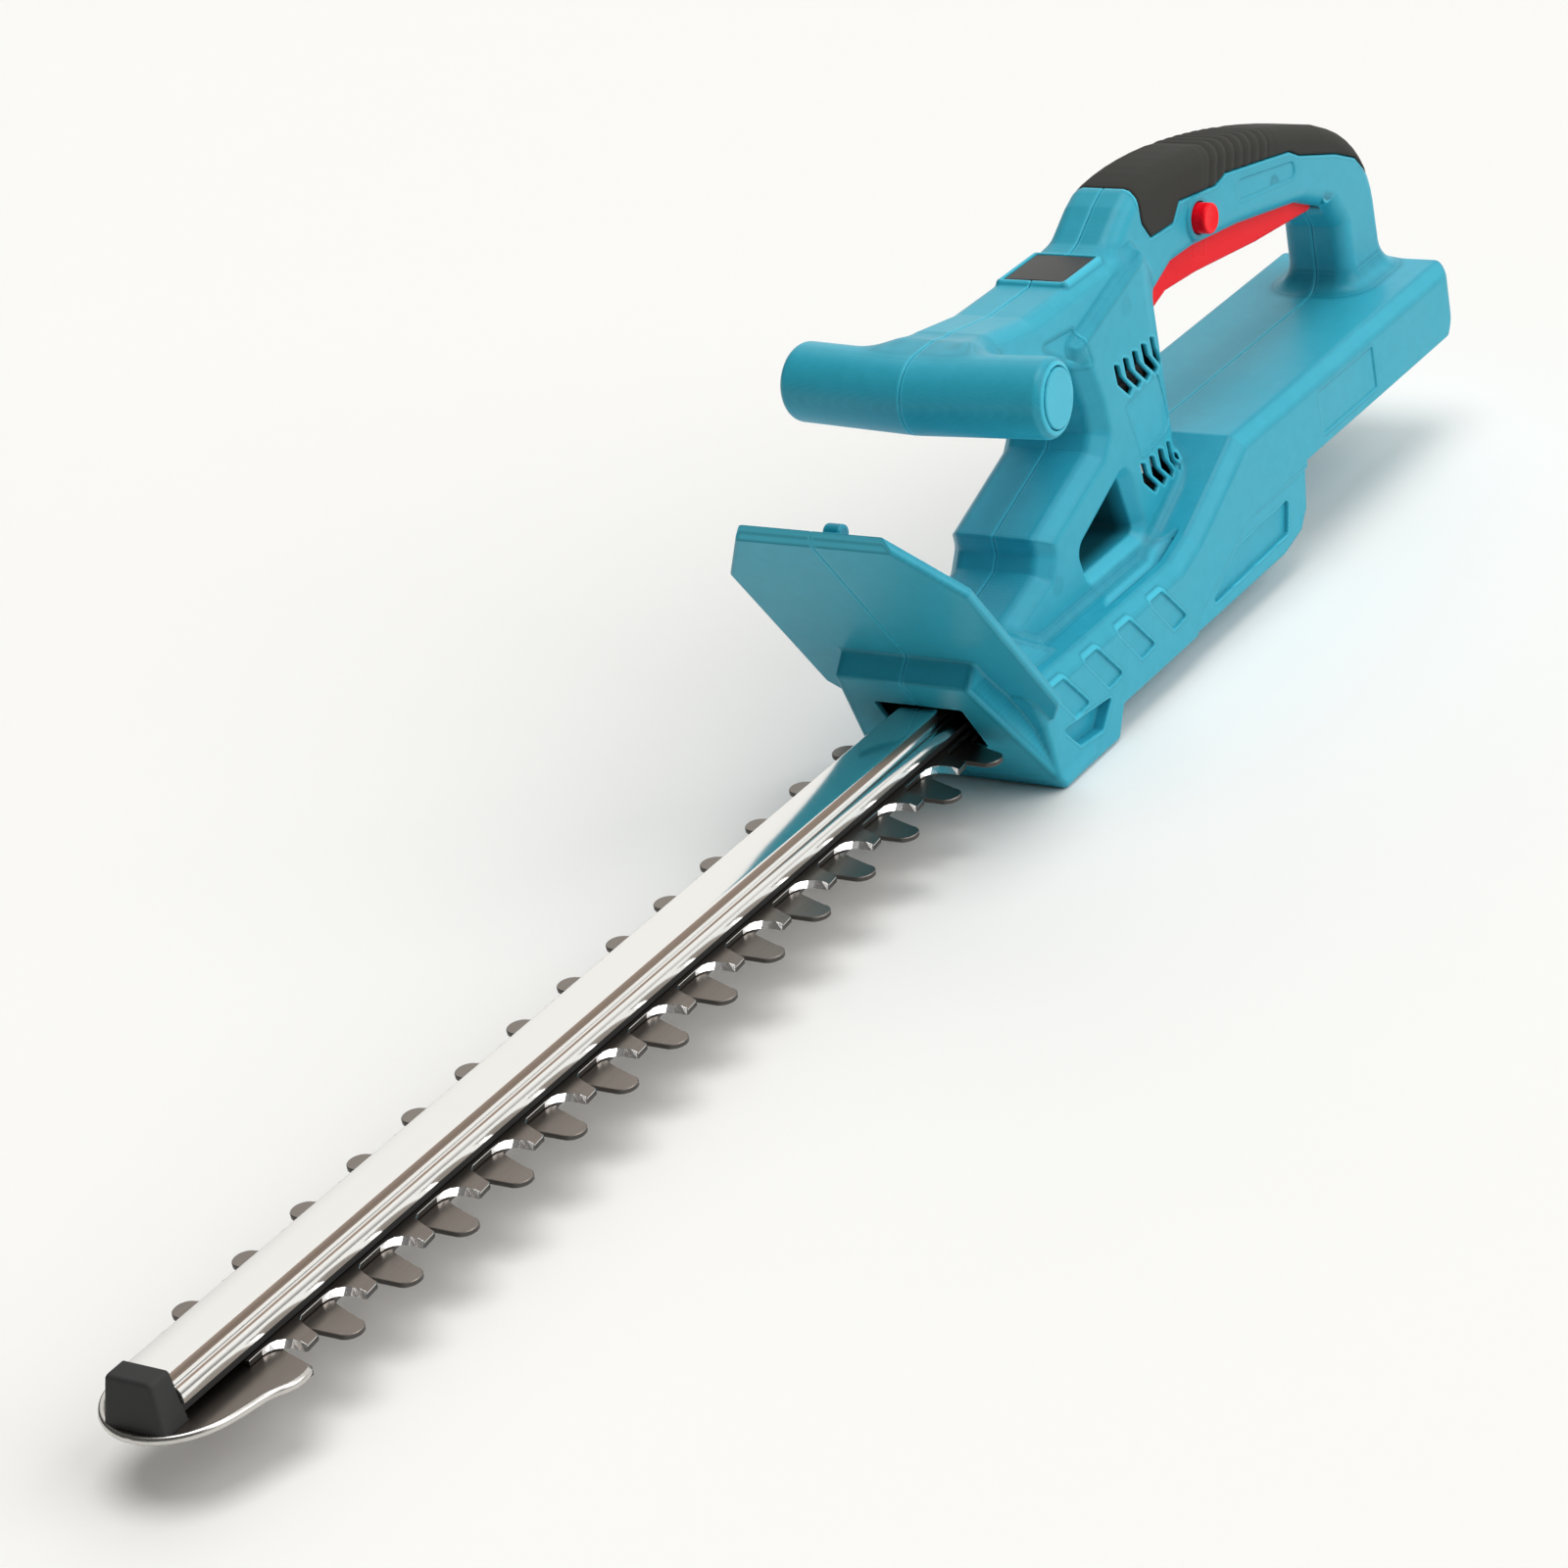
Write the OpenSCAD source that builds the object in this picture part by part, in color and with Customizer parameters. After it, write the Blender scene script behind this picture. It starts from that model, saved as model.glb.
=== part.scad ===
// Cordless hedge trimmer. +X runs along the blades to the tip, +Y is the right-hand side,
// +Z is up. The origin lies on the flat foot that the tool rests on.

/* [Blades] */
// Distance from one comb tooth to the next
tooth_pitch = 32; // [28:1:36]
// Comb teeth along each side
tooth_count = 14; // [9:1:15]
// Thickness of the comb and of the cutter
blade_t = 2; // [1.6:0.1:2.2]
// Reach of the comb teeth from the centre line
comb_reach = 36; // [33:1:40]
// How far the teeth on the left stand ahead of those on the right
stagger = 9; // [0:1:10]
// Crank throw, which is half of the cutter's stroke
throw = 7.5; // [6:0.25:9]
// Height of the comb's underside above the resting face
comb_z = 26; // [25:0.5:27]

/* [Body] */
// Width across the side panels
body_w = 88; // [73:0.1:106]
// Wall thickness of the two shells
wall = 2.6; // [2.2:0.1:3]
// Distance from the origin back to the rear face
rear_len = 353; // [294:1:424]
// Height of the rear deck
deck_z = 78; // [76:1:84]
// Height of the underside of the rear block, above the battery space
dock_z = 44; // [40:1:46]
// Height of the rear handle's guiding curve, about 2 above its crest
grip_top_z = 192; // [188:1:215]
// Width of the motor column and the front housing
column_w = 48; // [40:1:58]

/* [Handles] */
// Width of the rear handle
handle_w = 32; // [26.5:0.1:38.5]
// Thickness of the rubber cover on the rear handle
rubber_t = 2.2; // [1.6:0.1:2.4]
// Length of the front handle across the tool
front_grip_span = 118; // [110:1:142]
// Diameter of the front handle
front_grip_d = 32; // [28:1:34]
// Width of the hand guard
guard_w = 108; // [100:1:130]

/* [Drive] */
// Gear module
gear_module = 1; // [0.8:0.1:1.2]
// Teeth on the crank gear
gear_teeth = 60; // [56:4:60]
// Teeth on the motor pinion
pinion_teeth = 12; // [12:4:12]
// Diameter of the motor can
motor_d = 36; // [30:0.1:44]

/* [Hidden] */
$fn = 48;
eps = 0.01;
gap = 0.3;

teal = [0.1, 0.52, 0.64];
black_plastic = [0.09, 0.09, 0.09];
rubber = [0.16, 0.15, 0.14];
red = [0.9, 0.05, 0.12];
blade_steel = [0.45, 0.43, 0.41];
bright = [0.85, 0.85, 0.86];
steel = [0.6, 0.6, 0.62];
alloy = [0.7, 0.71, 0.73];
copper = [0.75, 0.42, 0.2];

// Heights of the stacked blade parts
cutter_z = comb_z + blade_t + gap;
strip_z = cutter_z + blade_t + gap;
strip_t = 3.4;
bar_z = strip_z + strip_t;
bar_h = 11;

// Blade lengths
first_tooth_x = 54;
last_tooth_x = first_tooth_x + (tooth_count - 1) * tooth_pitch;
bar_end_x = last_tooth_x + 63;
cap_front_x = bar_end_x + 12;
tip_x = bar_end_x + 15;
bolt_r = 2.5;
bush_r = 4.5;
bush_clear = 0.3;

// Drive layout
pitch_r_gear = gear_module * gear_teeth / 2;
pitch_r_pinion = gear_module * pinion_teeth / 2;
motor_x = -114;
crank_x = motor_x + pitch_r_gear + pitch_r_pinion;
gear_tip_r = pitch_r_gear + 0.8 * gear_module;
first_bolt_x = crank_x + gear_tip_r + 13.2;
case_bolt_x = [first_bolt_x, first_bolt_x + 24];
comb_tail_x = first_bolt_x - 10;
bar_bolt_x = [for (k = [1 : 3 : tooth_count - 1]) first_tooth_x + (k - 0.5) * tooth_pitch + 16];
bolt_x = concat(case_bolt_x, bar_bolt_x);
crank_pin_r = 4;
gear_z = strip_z + 4.4;
gear_t = 6;
case_z = gear_z + gear_t + 2;
bearing_w = 7;
bearing_r = 11;
crank_shaft_r = 4;
pin_stub_r = min(crank_pin_r - 1, throw - crank_shaft_r - 0.5);
rotor_shaft_r = 2.5;
motor_z = 76;
motor_h = 46;
motor_r = motor_d / 2;
lug_x = 8;
lug_z = 40;
lug_t = 2.8;

// Body side outlines, X then Z
half_w = body_w / 2;
edge_in = 6;
edge_drop = 5;
foot_rear_x = -20;
foot_front_x = 24;
belly_z = 12;
front_deck_z = 49;
dock_x = -200;
rear_x = -rear_len;
half_column = column_w / 2;
half_handle = handle_w / 2;
lug_y = half_w - 16;
plate_half = half_column - wall - 2.4;
half_bridge = half_handle + 4;
column_rear_x = motor_x - half_column - 4;
belly = [[rear_x + 12, dock_z], [dock_x, dock_z], [dock_x + 4, 24], [dock_x + 11, belly_z + 4],
    [dock_x + 28, belly_z], [foot_rear_x - 7, belly_z], [foot_rear_x, 0], [foot_front_x, 0],
    [29, 6], [33, 31], [41, front_deck_z]];
ramp = [[-83, front_deck_z], [-100, front_deck_z + 5], [-138, deck_z - 5], [-147, deck_z]];
base_outline = concat(belly, ramp, [[rear_x + 5, deck_z], [rear_x, deck_z - 6], [rear_x + 1, dock_z + 14]]);
side_outline = concat(
    [for (p = belly) [p[0], min(p[1], front_deck_z - edge_drop)]],
    [for (p = ramp) [p[0] - 2, p[1] - edge_drop]],
    [[rear_x + 5, deck_z - edge_drop], [rear_x, deck_z - edge_drop - 6], [rear_x + 1, dock_z + 14]]);

nose_top = [[63, 60], [55, 69]];
nose_room_low = [40.3, 24];
nose_outline = [[0, 3], [foot_front_x, 0], [29, 6], nose_top[0], nose_top[1], [30, 69], [0, front_deck_z]];
nose_half_top = half_w - 13;
nose_section = [[-half_w, 0], [half_w, 0], [half_w, 6], [nose_half_top, 60], [nose_half_top, 70],
    [-nose_half_top, 70], [-nose_half_top, 60], [-half_w, 6]];

housing_outline = [[45, 56], [18, 64], [-14, 73], [-18, 79], [-17, 87], [-66, 104], [-71, 110], [-70, 122],
    [-64, 140], [-64, 150], [-125, 168], [-138, 150], [-138, 135], [column_rear_x + 6, 116],
    [column_rear_x + 1, 90], [column_rear_x, 40], [45, 40]];
window_outline = [[-84, 86], [-91, 58], [-48, 58], [-45, 70]];

front_grip_x = 13;
front_grip_z = 162;
front_grip_r = front_grip_d / 2;
front_grip_sweep = 5;
bridge_outline = [[8, front_grip_z + 14], [-12, front_grip_z + 14.5], [-40, front_grip_z + 10],
    [-104, front_grip_z + 9.5], [-119, front_grip_z + 18], [-130, front_grip_z - 4], [-66, front_grip_z - 21],
    [-40, front_grip_z - 18], [0, front_grip_z - 14]];

// A point on the cubic curve through four control points
function curve_point(a, b, c, d, t) =
    pow(1 - t, 3) * a + 3 * t * pow(1 - t, 2) * b + 3 * t * t * (1 - t) * c + pow(t, 3) * d;
function curve(a, b, c, d, steps) = [for (i = [0 : steps]) curve_point(a, b, c, d, i / steps)];

hump_x = -136;
post_w = 36;
loop_rear_x = rear_x + 11 + post_w;

// Points along the handle loop stay spread over it when the tool gets longer or shorter
loop_front_x = -137;
loop_pattern_len = 169;
board_pattern_len = 87;
function along(x) = loop_front_x + (x - loop_front_x) * (loop_front_x - loop_rear_x) / loop_pattern_len;

crown_end = [rear_x + 53, grip_top_z - 34];
post_top = [rear_x + 11, grip_top_z - 82];
handle_top = concat([[-102, 171.5], [-106, 171.7], [-112, 174.4], [-121, 180.1], [-128, 184.6]],
    curve([hump_x, grip_top_z - 3.8], [along(-170), grip_top_z + 2.5], [along(-235), grip_top_z - 9.5],
        crown_end, 10),
    curve([crown_end[0] - 12, crown_end[1] - 6], [rear_x + 22, crown_end[1] - 16], [rear_x + 12, grip_top_z - 66],
        post_top, 5));
handle_under = [[loop_rear_x, deck_z - 3], [loop_rear_x - 1, 108], [loop_rear_x + 6, grip_top_z - 72],
    [along(-276), grip_top_z - 61], [along(-222), grip_top_z - 50.5], [along(-181), grip_top_z - 45],
    [along(-160), grip_top_z - 44.5], [-137, 139], [-120, 137]];
handle_outline = concat(handle_top, [[rear_x + 10, deck_z - 3]], handle_under, [[-102, 160]]);

// Trigger: a long lever that pivots at its rear end
trigger_pivot = [loop_rear_x + 8, grip_top_z - 64];
trigger_half = 7.5;
trigger_throw_deg = 4;
trigger_under = [[-139, 131], [-149, 130], [along(-164), grip_top_z - 58], [along(-191), grip_top_z - 60],
    [along(-244), grip_top_z - 67], [along(-294), grip_top_z - 71.5]];
trigger_over = [[along(-297), grip_top_z - 68], [along(-276), grip_top_z - 59],
    [along(-222), grip_top_z - 50], [along(-181), grip_top_z - 45], [along(-160), grip_top_z - 45.5], [-141, 147]];
slot_over = [[loop_rear_x + 3, grip_top_z - 58], [along(-276), grip_top_z - 50],
    [along(-181), grip_top_z - 33], [along(-160), grip_top_z - 30], [-139.5, 161], [-137, 158]];
slot_outline = concat([[-137, 120], [loop_rear_x + 3, grip_top_z - 90]], slot_over);

// Rubber cover: everything of the handle above this lower edge
cover_edge = [[-140, 230], [-139.5, grip_top_z - 3], [-138, grip_top_z - 10], [-138.5, grip_top_z - 18],
    [-144, grip_top_z - 26],
    [along(-163), grip_top_z - 27], [along(-170), grip_top_z - 20], [along(-202), grip_top_z - 25],
    [along(-211), grip_top_z - 23], [along(-267), grip_top_z - 34], [along(-276), grip_top_z - 39],
    [rear_x + 45, grip_top_z - 50],
    [rear_x + 28, grip_top_z - 58], [rear_x + 16, grip_top_z - 71], [rear_x - 20, grip_top_z - 71],
    [rear_x - 20, 230]];
button_x = along(-182);
button_z = grip_top_z - 32;
switch_x = along(-221);
button_r = 6.5;
button_out = 7.5;
stem_end = half_handle - rubber_t - wall - 6.2;

// Hand guard plate, which leans forward from the nose
guard_lean = 35.5;
guard_t = 4.5;
guard_foot = [57, 71];
half_guard = guard_w / 2;
guard_outline = [[-half_w - 2, -47], [half_w + 2, -47], [half_guard, -34], [half_guard, 51],
    [half_guard - 22, 86], [-half_guard + 22, 86], [-half_guard, 51], [-half_guard, -34]];

// Clamshell screw places: X, Z and the half-width of the body there
screw_at = [[8, 13, half_w - edge_in], [-50, 17.5, half_w - edge_in], [-186, 34, half_w - edge_in],
    [rear_x + 15, 61, half_w - edge_in], [-224, 61, half_w - edge_in], [-30, front_grip_z - 4, half_bridge],
    [-104, 152, half_column], [along(-252), grip_top_z - 43, half_handle], [rear_x + 24, 96, half_handle],
    [-22, 65, half_column]];
screw_r = 1.6;
screw_head_r = 3.4;
boss_r = 5;

// A side outline (X, Z) pushed across the tool from y0 to y1
module side_slab(points, y0, y1) {
    translate([0, y1, 0])
        rotate([90, 0, 0])
            linear_extrude(y1 - y0)
                polygon(points);
}

// A rod along Y
module cross_rod(x, z, r, y0, y1) {
    translate([x, y1, z])
        rotate([90, 0, 0])
            cylinder(r = r, h = y1 - y0);
}

// A disc or rod along Z
module post(x, y, r, z0, z1) {
    translate([x, y, z0])
        cylinder(r = r, h = z1 - z0);
}

// A ring or tube along Z
module tube(x, y, r_out, r_in, z0, z1) {
    difference() {
        post(x, y, r_out, z0, z1);
        post(x, y, r_in, z0 - 1, z1 + 1);
    }
}

// An axis-aligned block from its two opposite corners
module block(low, high) {
    translate(low)
        cube(high - low);
}

function unit(v) = v / norm(v);
function left_of(a, b) = let (u = unit(b - a)) [-u[1], u[0]];
function turn_sum(p) = [for (i = [0 : len(p) - 1])
    let (a = p[i], b = p[(i + 1) % len(p)]) a[0] * b[1] - b[0] * a[1]];
function total(v, i = 0) = i < len(v) ? v[i] + total(v, i + 1) : 0;

// An outline moved inwards by d, or outwards when d is negative
function inset(p, d) = let (n = len(p), s = total(turn_sum(p)) > 0 ? d : -d) [for (i = [0 : n - 1])
    let (a = p[(i + n - 1) % n], b = p[i], c = p[(i + 1) % n], u = left_of(a, b), v = left_of(b, c))
    b + s * (u + v) / (1 + u * v)];

module front_grip_rod(r, reach) {
    for (side = [0, 1])
        mirror([0, side, 0])
            intersection() {
                translate([front_grip_x + 3, 0, front_grip_z])
                    rotate([0, 0, front_grip_sweep])
                        rotate([-90, 0, 0])
                            translate([0, 0, -5])
                                cylinder(r = r, h = reach + 5);
                block([-40, 0, 100], [80, 120, 220]);
            }
}

module guard_plate() {
    translate([guard_foot[0], 0, guard_foot[1]])
        rotate([0, guard_lean, 0])
            translate([-guard_t, 0, 0])
                rotate([90, 0, 90])
                    linear_extrude(guard_t)
                        polygon(guard_outline);
    cross_rod(98.5, 140.8, 3.6, 4, 12);
}

// Plan of the column: straight in front, a half cylinder round the motor behind
module column_plan(grow) {
    post(motor_x - 4, 0, half_column + grow, 30, 175);
    block([motor_x - 4, -half_column - grow, 30], [60, half_column + grow, 175]);
}

// Room for the motor inside the column, or its outside when grown by the wall
module motor_barrel(grow) {
    post(motor_x, 0, motor_r + gap + grow, motor_z - 13 - grow, motor_z + motor_h + 1 + grow);
}

module body_outer() {
    side_slab(base_outline, edge_in - half_w, half_w - edge_in);
    side_slab(side_outline, -half_w, half_w);
    intersection() {
        side_slab(nose_outline, -half_w, half_w);
        rotate([90, 0, 90])
            linear_extrude(80)
                polygon(nose_section);
    }
    intersection() {
        side_slab(housing_outline, -half_column, half_column);
        column_plan(0);
    }
    motor_barrel(wall);
    side_slab(bridge_outline, -half_bridge, half_bridge);
    side_slab(handle_outline, -half_handle, half_handle);
    front_grip_rod(front_grip_r, front_grip_span / 2);
    guard_plate();
}

module body_cavity() {
    base_half = half_w - edge_in - wall;
    side_slab(inset(base_outline, wall), -base_half, base_half);
    nose_room = [[0, nose_room_low[1]], nose_room_low, nose_top[0], nose_top[1], [30, 69], [0, front_deck_z]];
    side_slab(inset(nose_room, wall), wall - nose_half_top, nose_half_top - wall);
    intersection() {
        side_slab(inset(housing_outline, wall), wall - half_column, half_column - wall);
        column_plan(-wall);
    }
    side_slab(inset(bridge_outline, wall), wall - half_bridge, half_bridge - wall);
    handle_wall = rubber_t + wall;
    side_slab(inset(handle_outline, handle_wall), handle_wall - half_handle, half_handle - handle_wall);
    front_grip_rod(front_grip_r - wall, front_grip_span / 2 - 8);
    post(crank_x, 0, gear_tip_r + 1, gear_z - 1.5, gear_z + gear_t + 1.5);
    motor_barrel(0);
}

// The rubber's share of the handle
module cover_zone() {
    intersection() {
        difference() {
            side_slab(handle_outline, -half_handle, half_handle);
            side_slab(inset(handle_outline, rubber_t), rubber_t - half_handle, half_handle - rubber_t);
        }
        side_slab(cover_edge, -half_handle - 1, half_handle + 1);
    }
}

module chevron(x, z) {
    side_slab([[x, z], [x + 4, z + 2], [x + 3, z - 7], [x - 5, z - 15], [x - 8, z - 13], [x - 1, z - 5]],
        half_column - 6, half_column + 6);
}

module vents() {
    for (side = [0, 1])
        mirror([0, side, 0])
            for (i = [0 : 4]) {
                chevron(-92 - 7.6 * i, 131);
                chevron(-101 - 7.6 * i, 84);
            }
}

// Shallow marks on each side panel, and the deeper pocket near the nose
module side_recesses() {
    for (side = [0, 1])
        mirror([0, side, 0]) {
            for (i = [0 : 3])
                side_slab([[-67 + 27 * i, 42.5], [-57 + 27 * i, 42.5], [-73 + 27 * i, 25], [-83 + 27 * i, 25]],
                    half_w - 0.8, half_w + 1);
            side_slab([[21, 24], [-18, 20], [-8, 10], [10, 12]], half_w - 6, half_w + 1);
            block([-268, half_w - 0.8, dock_z + 6], [-216, half_w + 1, dock_z + 25]);
        }
}

module dock_rails() {
    for (side = [0, 1])
        mirror([0, side, 0]) {
            block([rear_x + 22, 22, dock_z - 8], [dock_x - 14, 26, dock_z + 1]);
            block([rear_x + 22, 22, dock_z - 8], [dock_x - 14, 31, dock_z - 5]);
        }
}

module screw_bosses() {
    for (s = screw_at)
        cross_rod(s[0], s[1], boss_r, 1 - s[2], s[2] - 1);
}

// Screws enter from the left: a counterbore and clearance hole there, a pilot hole on the right
module screw_holes() {
    for (s = screw_at) {
        cross_rod(s[0], s[1], screw_head_r + 0.3, -half_w - 5, -10);
        cross_rod(s[0], s[1], screw_r + 0.2, -11, eps);
        cross_rod(s[0], s[1], screw_r, -eps, 12);
    }
}

module button_hole() {
    cross_rod(button_x, button_z, button_r + gap, half_handle - 12, half_handle + 5);
}

module blade_mouth() {
    block([0, -20, comb_z - 3], [80, 20, bar_z + bar_h + 1]);
}

module body_shell() {
    difference() {
        union() {
            difference() {
                body_outer();
                body_cavity();
                blade_mouth();
            }
            side_slab(inset(window_outline, -wall), -half_column, half_column);
            screw_bosses();
            dock_rails();
            trigger_cheeks();
            for (side = [-1, 1])
                post(lug_x, side * lug_y, 4.2, 1, lug_z);
        }
        screw_holes();
        for (side = [-1, 1])
            post(lug_x, side * lug_y, screw_r, lug_z - 14, lug_z + 1);
        side_slab(window_outline, -half_column - 1, half_column + 1);
        cover_zone();
        side_slab(slot_outline, -trigger_half - 0.8, trigger_half + 0.8);
        cross_rod(trigger_pivot[0], trigger_pivot[1], 2, -half_handle + 3, half_handle - 3);
        button_hole();
        vents();
        side_recesses();
        block([-102.5, -14, front_grip_z + 8], [-75, 14, front_grip_z + 14]);
        for (side = [-1, 1])
            front_grip_cap(side);
    }
}

// Cheeks inside the handle that carry the trigger's pin
module trigger_cheeks() {
    for (side = [-1, 1])
        cross_rod(trigger_pivot[0], trigger_pivot[1], 5,
            side > 0 ? trigger_half + 0.8 : -half_handle + 1, side > 0 ? half_handle - 1 : -trigger_half - 0.8);
}

module left_shell() {
    color(teal)
        intersection() {
            body_shell();
            block([-600, -200, -10], [200, 0, 260]);
        }
}

module right_shell() {
    color(teal)
        intersection() {
            body_shell();
            block([-600, 0, -10], [200, 200, 260]);
        }
}

module grip_cover() {
    color(rubber)
        cover_zone();
}

module front_grip_cap(side) {
    translate([front_grip_x + 3, 0, front_grip_z])
        rotate([0, 0, side * front_grip_sweep])
            rotate([-side * 90, 0, 0])
                translate([0, 0, front_grip_span / 2 - 2])
                    cylinder(r = front_grip_r - 4, h = 2);
}

module front_grip_cap_left() {
    color(teal)
        front_grip_cap(-1);
}

module front_grip_cap_right() {
    color(teal)
        front_grip_cap(1);
}

module indicator_window() {
    color(black_plastic)
        block([-102.5, -14, front_grip_z + 8], [-75, 14, front_grip_z + 10.3]);
}

module indicator_board() {
    color([0.1, 0.35, 0.15])
        block([-100, -10, front_grip_z + 1], [-78, 10, front_grip_z + 2.6]);
}

module shell_screws() {
    color(steel)
        for (s = screw_at) {
            cross_rod(s[0], s[1], screw_head_r, -12.4, -10);
            cross_rod(s[0], s[1], screw_r, -10, 11);
        }
}

// The outline of one comb tooth on the right: it leans towards the tip and has a round end
tooth_r = 5.3;
comb_tooth = concat([[-13, 12], [-9, 14.5], [-6, 24]],
    [for (a = [180 : -15 : 0]) [1.8 + tooth_r * cos(a), comb_reach - tooth_r + tooth_r * sin(a)]],
    [[7, 14], [12, 12]]);

// The outline of one cutter tooth on the right, with its ground edge facing the tip
cutter_tooth = [[3, 12], [7, 15], [11.5, 26], [19, 27], [19.2, 21], [20.5, 16], [25, 13.4], [29, 12]];

// The two halves of the rounded bumper at the end of the comb: the right one has a swept ear
bumper = concat([for (a = [75 : -15 : 0]) [tip_x - 27 + 27 * cos(a), 27 * sin(a)]], [[tip_x, -1]]);
tip_right = concat([[tip_x - 60, -1], [tip_x - 60, 12], [tip_x - 53, 35], [tip_x - 41, 34], [tip_x - 36, 30],
    [tip_x - 20, 28]], bumper);
tip_left = concat([[tip_x - 60, -1], [tip_x - 60, 12], [tip_x - 44, 19], [tip_x - 33, 24.5]], bumper);

// A flat plate between two heights from an outline in plan
module plate(points, z0, t) {
    translate([0, 0, z0])
        linear_extrude(t)
            polygon(points);
}

// A blade: a straight spine with the same teeth along both sides
module toothed_blade(tail_x, head_x, spine_half, tooth, z0) {
    block([tail_x, -spine_half, z0], [head_x, spine_half, z0 + blade_t]);
    for (side = [0, 1])
        mirror([0, side, 0])
            for (k = [0 : tooth_count - 1])
                translate([first_tooth_x + k * tooth_pitch + side * stagger, 0, 0])
                    plate(tooth, z0, blade_t);
}

module blade_comb() {
    color(blade_steel)
        difference() {
            union() {
                toothed_blade(comb_tail_x, last_tooth_x + 30, 15, comb_tooth, comb_z);
                plate(tip_right, comb_z, blade_t);
                mirror([0, 1, 0])
                    plate(tip_left, comb_z, blade_t);
            }
            for (x = bolt_x)
                post(x, 0, bolt_r + 0.1, comb_z - 1, comb_z + blade_t + 1);
        }
}

// Slots let the cutter slide past the fixed bushes
module cutter_slot(x) {
    w = bush_r + bush_clear;
    block([x - throw - 0.5, -w, cutter_z - 1], [x + throw + 0.5, w, cutter_z + blade_t + 1]);
    for (end = [-1, 1])
        post(x + end * (throw + 0.5), 0, w, cutter_z - 1, cutter_z + blade_t + 1);
}

module blade_cutter() {
    yoke_half = crank_pin_r + 0.1;
    color(blade_steel)
        difference() {
            union() {
                toothed_blade(crank_x - 12, last_tooth_x + 32, 13.5, cutter_tooth, cutter_z);
                block([crank_x - 14, -17, cutter_z], [crank_x + 14, 17, cutter_z + blade_t]);
            }
            for (x = bolt_x)
                cutter_slot(x);
            block([crank_x - yoke_half, -throw - yoke_half, cutter_z - 1],
                [crank_x + yoke_half, throw + yoke_half, cutter_z + blade_t + 1]);
        }
}

module clamp_strip() {
    color(black_plastic)
        difference() {
            block([comb_tail_x - 2, -11.4, strip_z], [bar_end_x + 6, 11.4, bar_z]);
            for (x = bolt_x)
                post(x, 0, bolt_r + 0.1, strip_z - 1, bar_z + 1);
        }
}

bar_section = [[-13, 0], [-13, 4], [-10.5, 6.5], [-10.5, 8], [-8.5, bar_h], [8.5, bar_h], [10.5, 8], [10.5, 6.5],
    [13, 4], [13, 0]];
bar_x0 = 30;

module blade_bar() {
    inner = concat([[-11.6, -2]], [for (i = [1 : 8]) inset(bar_section, 1.4)[i]], [[11.6, -2]]);
    color(bright)
        translate([bar_x0, 0, bar_z])
            rotate([90, 0, 90])
                linear_extrude(bar_end_x - bar_x0)
                    difference() {
                        polygon(bar_section);
                        polygon(inner);
                    }
}

module bar_end_cap() {
    base_z = comb_z + blade_t;
    top_h = bar_z + bar_h - base_z;
    foot = [[-14.5, 0], [-12, top_h - 4], [-9, top_h + 1.2], [9, top_h + 1.2], [12, top_h - 4], [14.5, 0]];
    color(black_plastic)
        difference() {
            translate([bar_end_x, 0, base_z])
                rotate([90, 0, 90])
                    linear_extrude(cap_front_x - bar_end_x)
                        polygon(foot);
            block([bar_end_x - 1, -11.5, strip_z - 1], [bar_end_x + 6.2, 11.5, bar_z + 0.1]);
        }
}

module blade_bolts() {
    color(steel)
        for (x = bolt_x) {
            post(x, 0, bolt_r, comb_z - 1, bar_z + 4.5);
            post(x, 0, 4.8, comb_z - 2.6, comb_z);
        }
}

module guide_bushes() {
    color(steel)
        for (x = bolt_x)
            tube(x, 0, bush_r, bolt_r, comb_z + blade_t, strip_z);
}

module lock_nuts() {
    color(steel)
        for (x = bolt_x)
            difference() {
                translate([x, 0, bar_z])
                    cylinder(r = 4.6, h = 4, $fn = 6);
                post(x, 0, bolt_r, bar_z - 1, bar_z + 5);
            }
}

// Alloy plate that carries the crank bearing, the motor and the tails of the blades
module gear_case() {
    plate_z = case_z + bearing_w - 3;
    color(alloy)
        difference() {
            union() {
                block([motor_x - 16, -plate_half, plate_z], [14, plate_half, plate_z + 2.6]);
                post(crank_x, 0, bearing_r + 3.5, case_z, plate_z + 1);
                for (x = case_bolt_x)
                    post(x, 0, 7.5, bar_z, plate_z + 1);
                for (side = [-1, 1]) {
                    block([lug_x - 4, side * 12 - 3, lug_z], [lug_x + 4, side * 12 + 3, plate_z + 2.6]);
                    block([lug_x - 4, side > 0 ? 9 : -lug_y - 5, lug_z],
                        [lug_x + 4, side > 0 ? lug_y + 5 : -9, lug_z + lug_t]);
                }
            }
            post(crank_x, 0, bearing_r, case_z - 1, case_z + bearing_w);
            post(crank_x, 0, crank_shaft_r + 2, case_z - 1, plate_z + 4);
            post(motor_x, 0, 7.4, plate_z - 1, plate_z + 4);
            for (x = case_bolt_x)
                post(x, 0, 5.4, bar_z - 1, bar_z + 5.2);
            for (side = [-1, 1])
                post(lug_x, side * lug_y, screw_r, lug_z - 1, lug_z + lug_t + 1);
        }
}

module gear_case_screws() {
    color(steel)
        for (side = [-1, 1]) {
            post(lug_x, side * lug_y, screw_r, lug_z - 12, lug_z + lug_t);
            post(lug_x, side * lug_y, 3, lug_z + lug_t, lug_z + lug_t + 2.2);
        }
}

module crank_bearing() {
    color(steel)
        difference() {
            post(crank_x, 0, bearing_r, case_z, case_z + bearing_w);
            post(crank_x, 0, crank_shaft_r + 0.05, case_z - 1, case_z + bearing_w + 1);
        }
}

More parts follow.
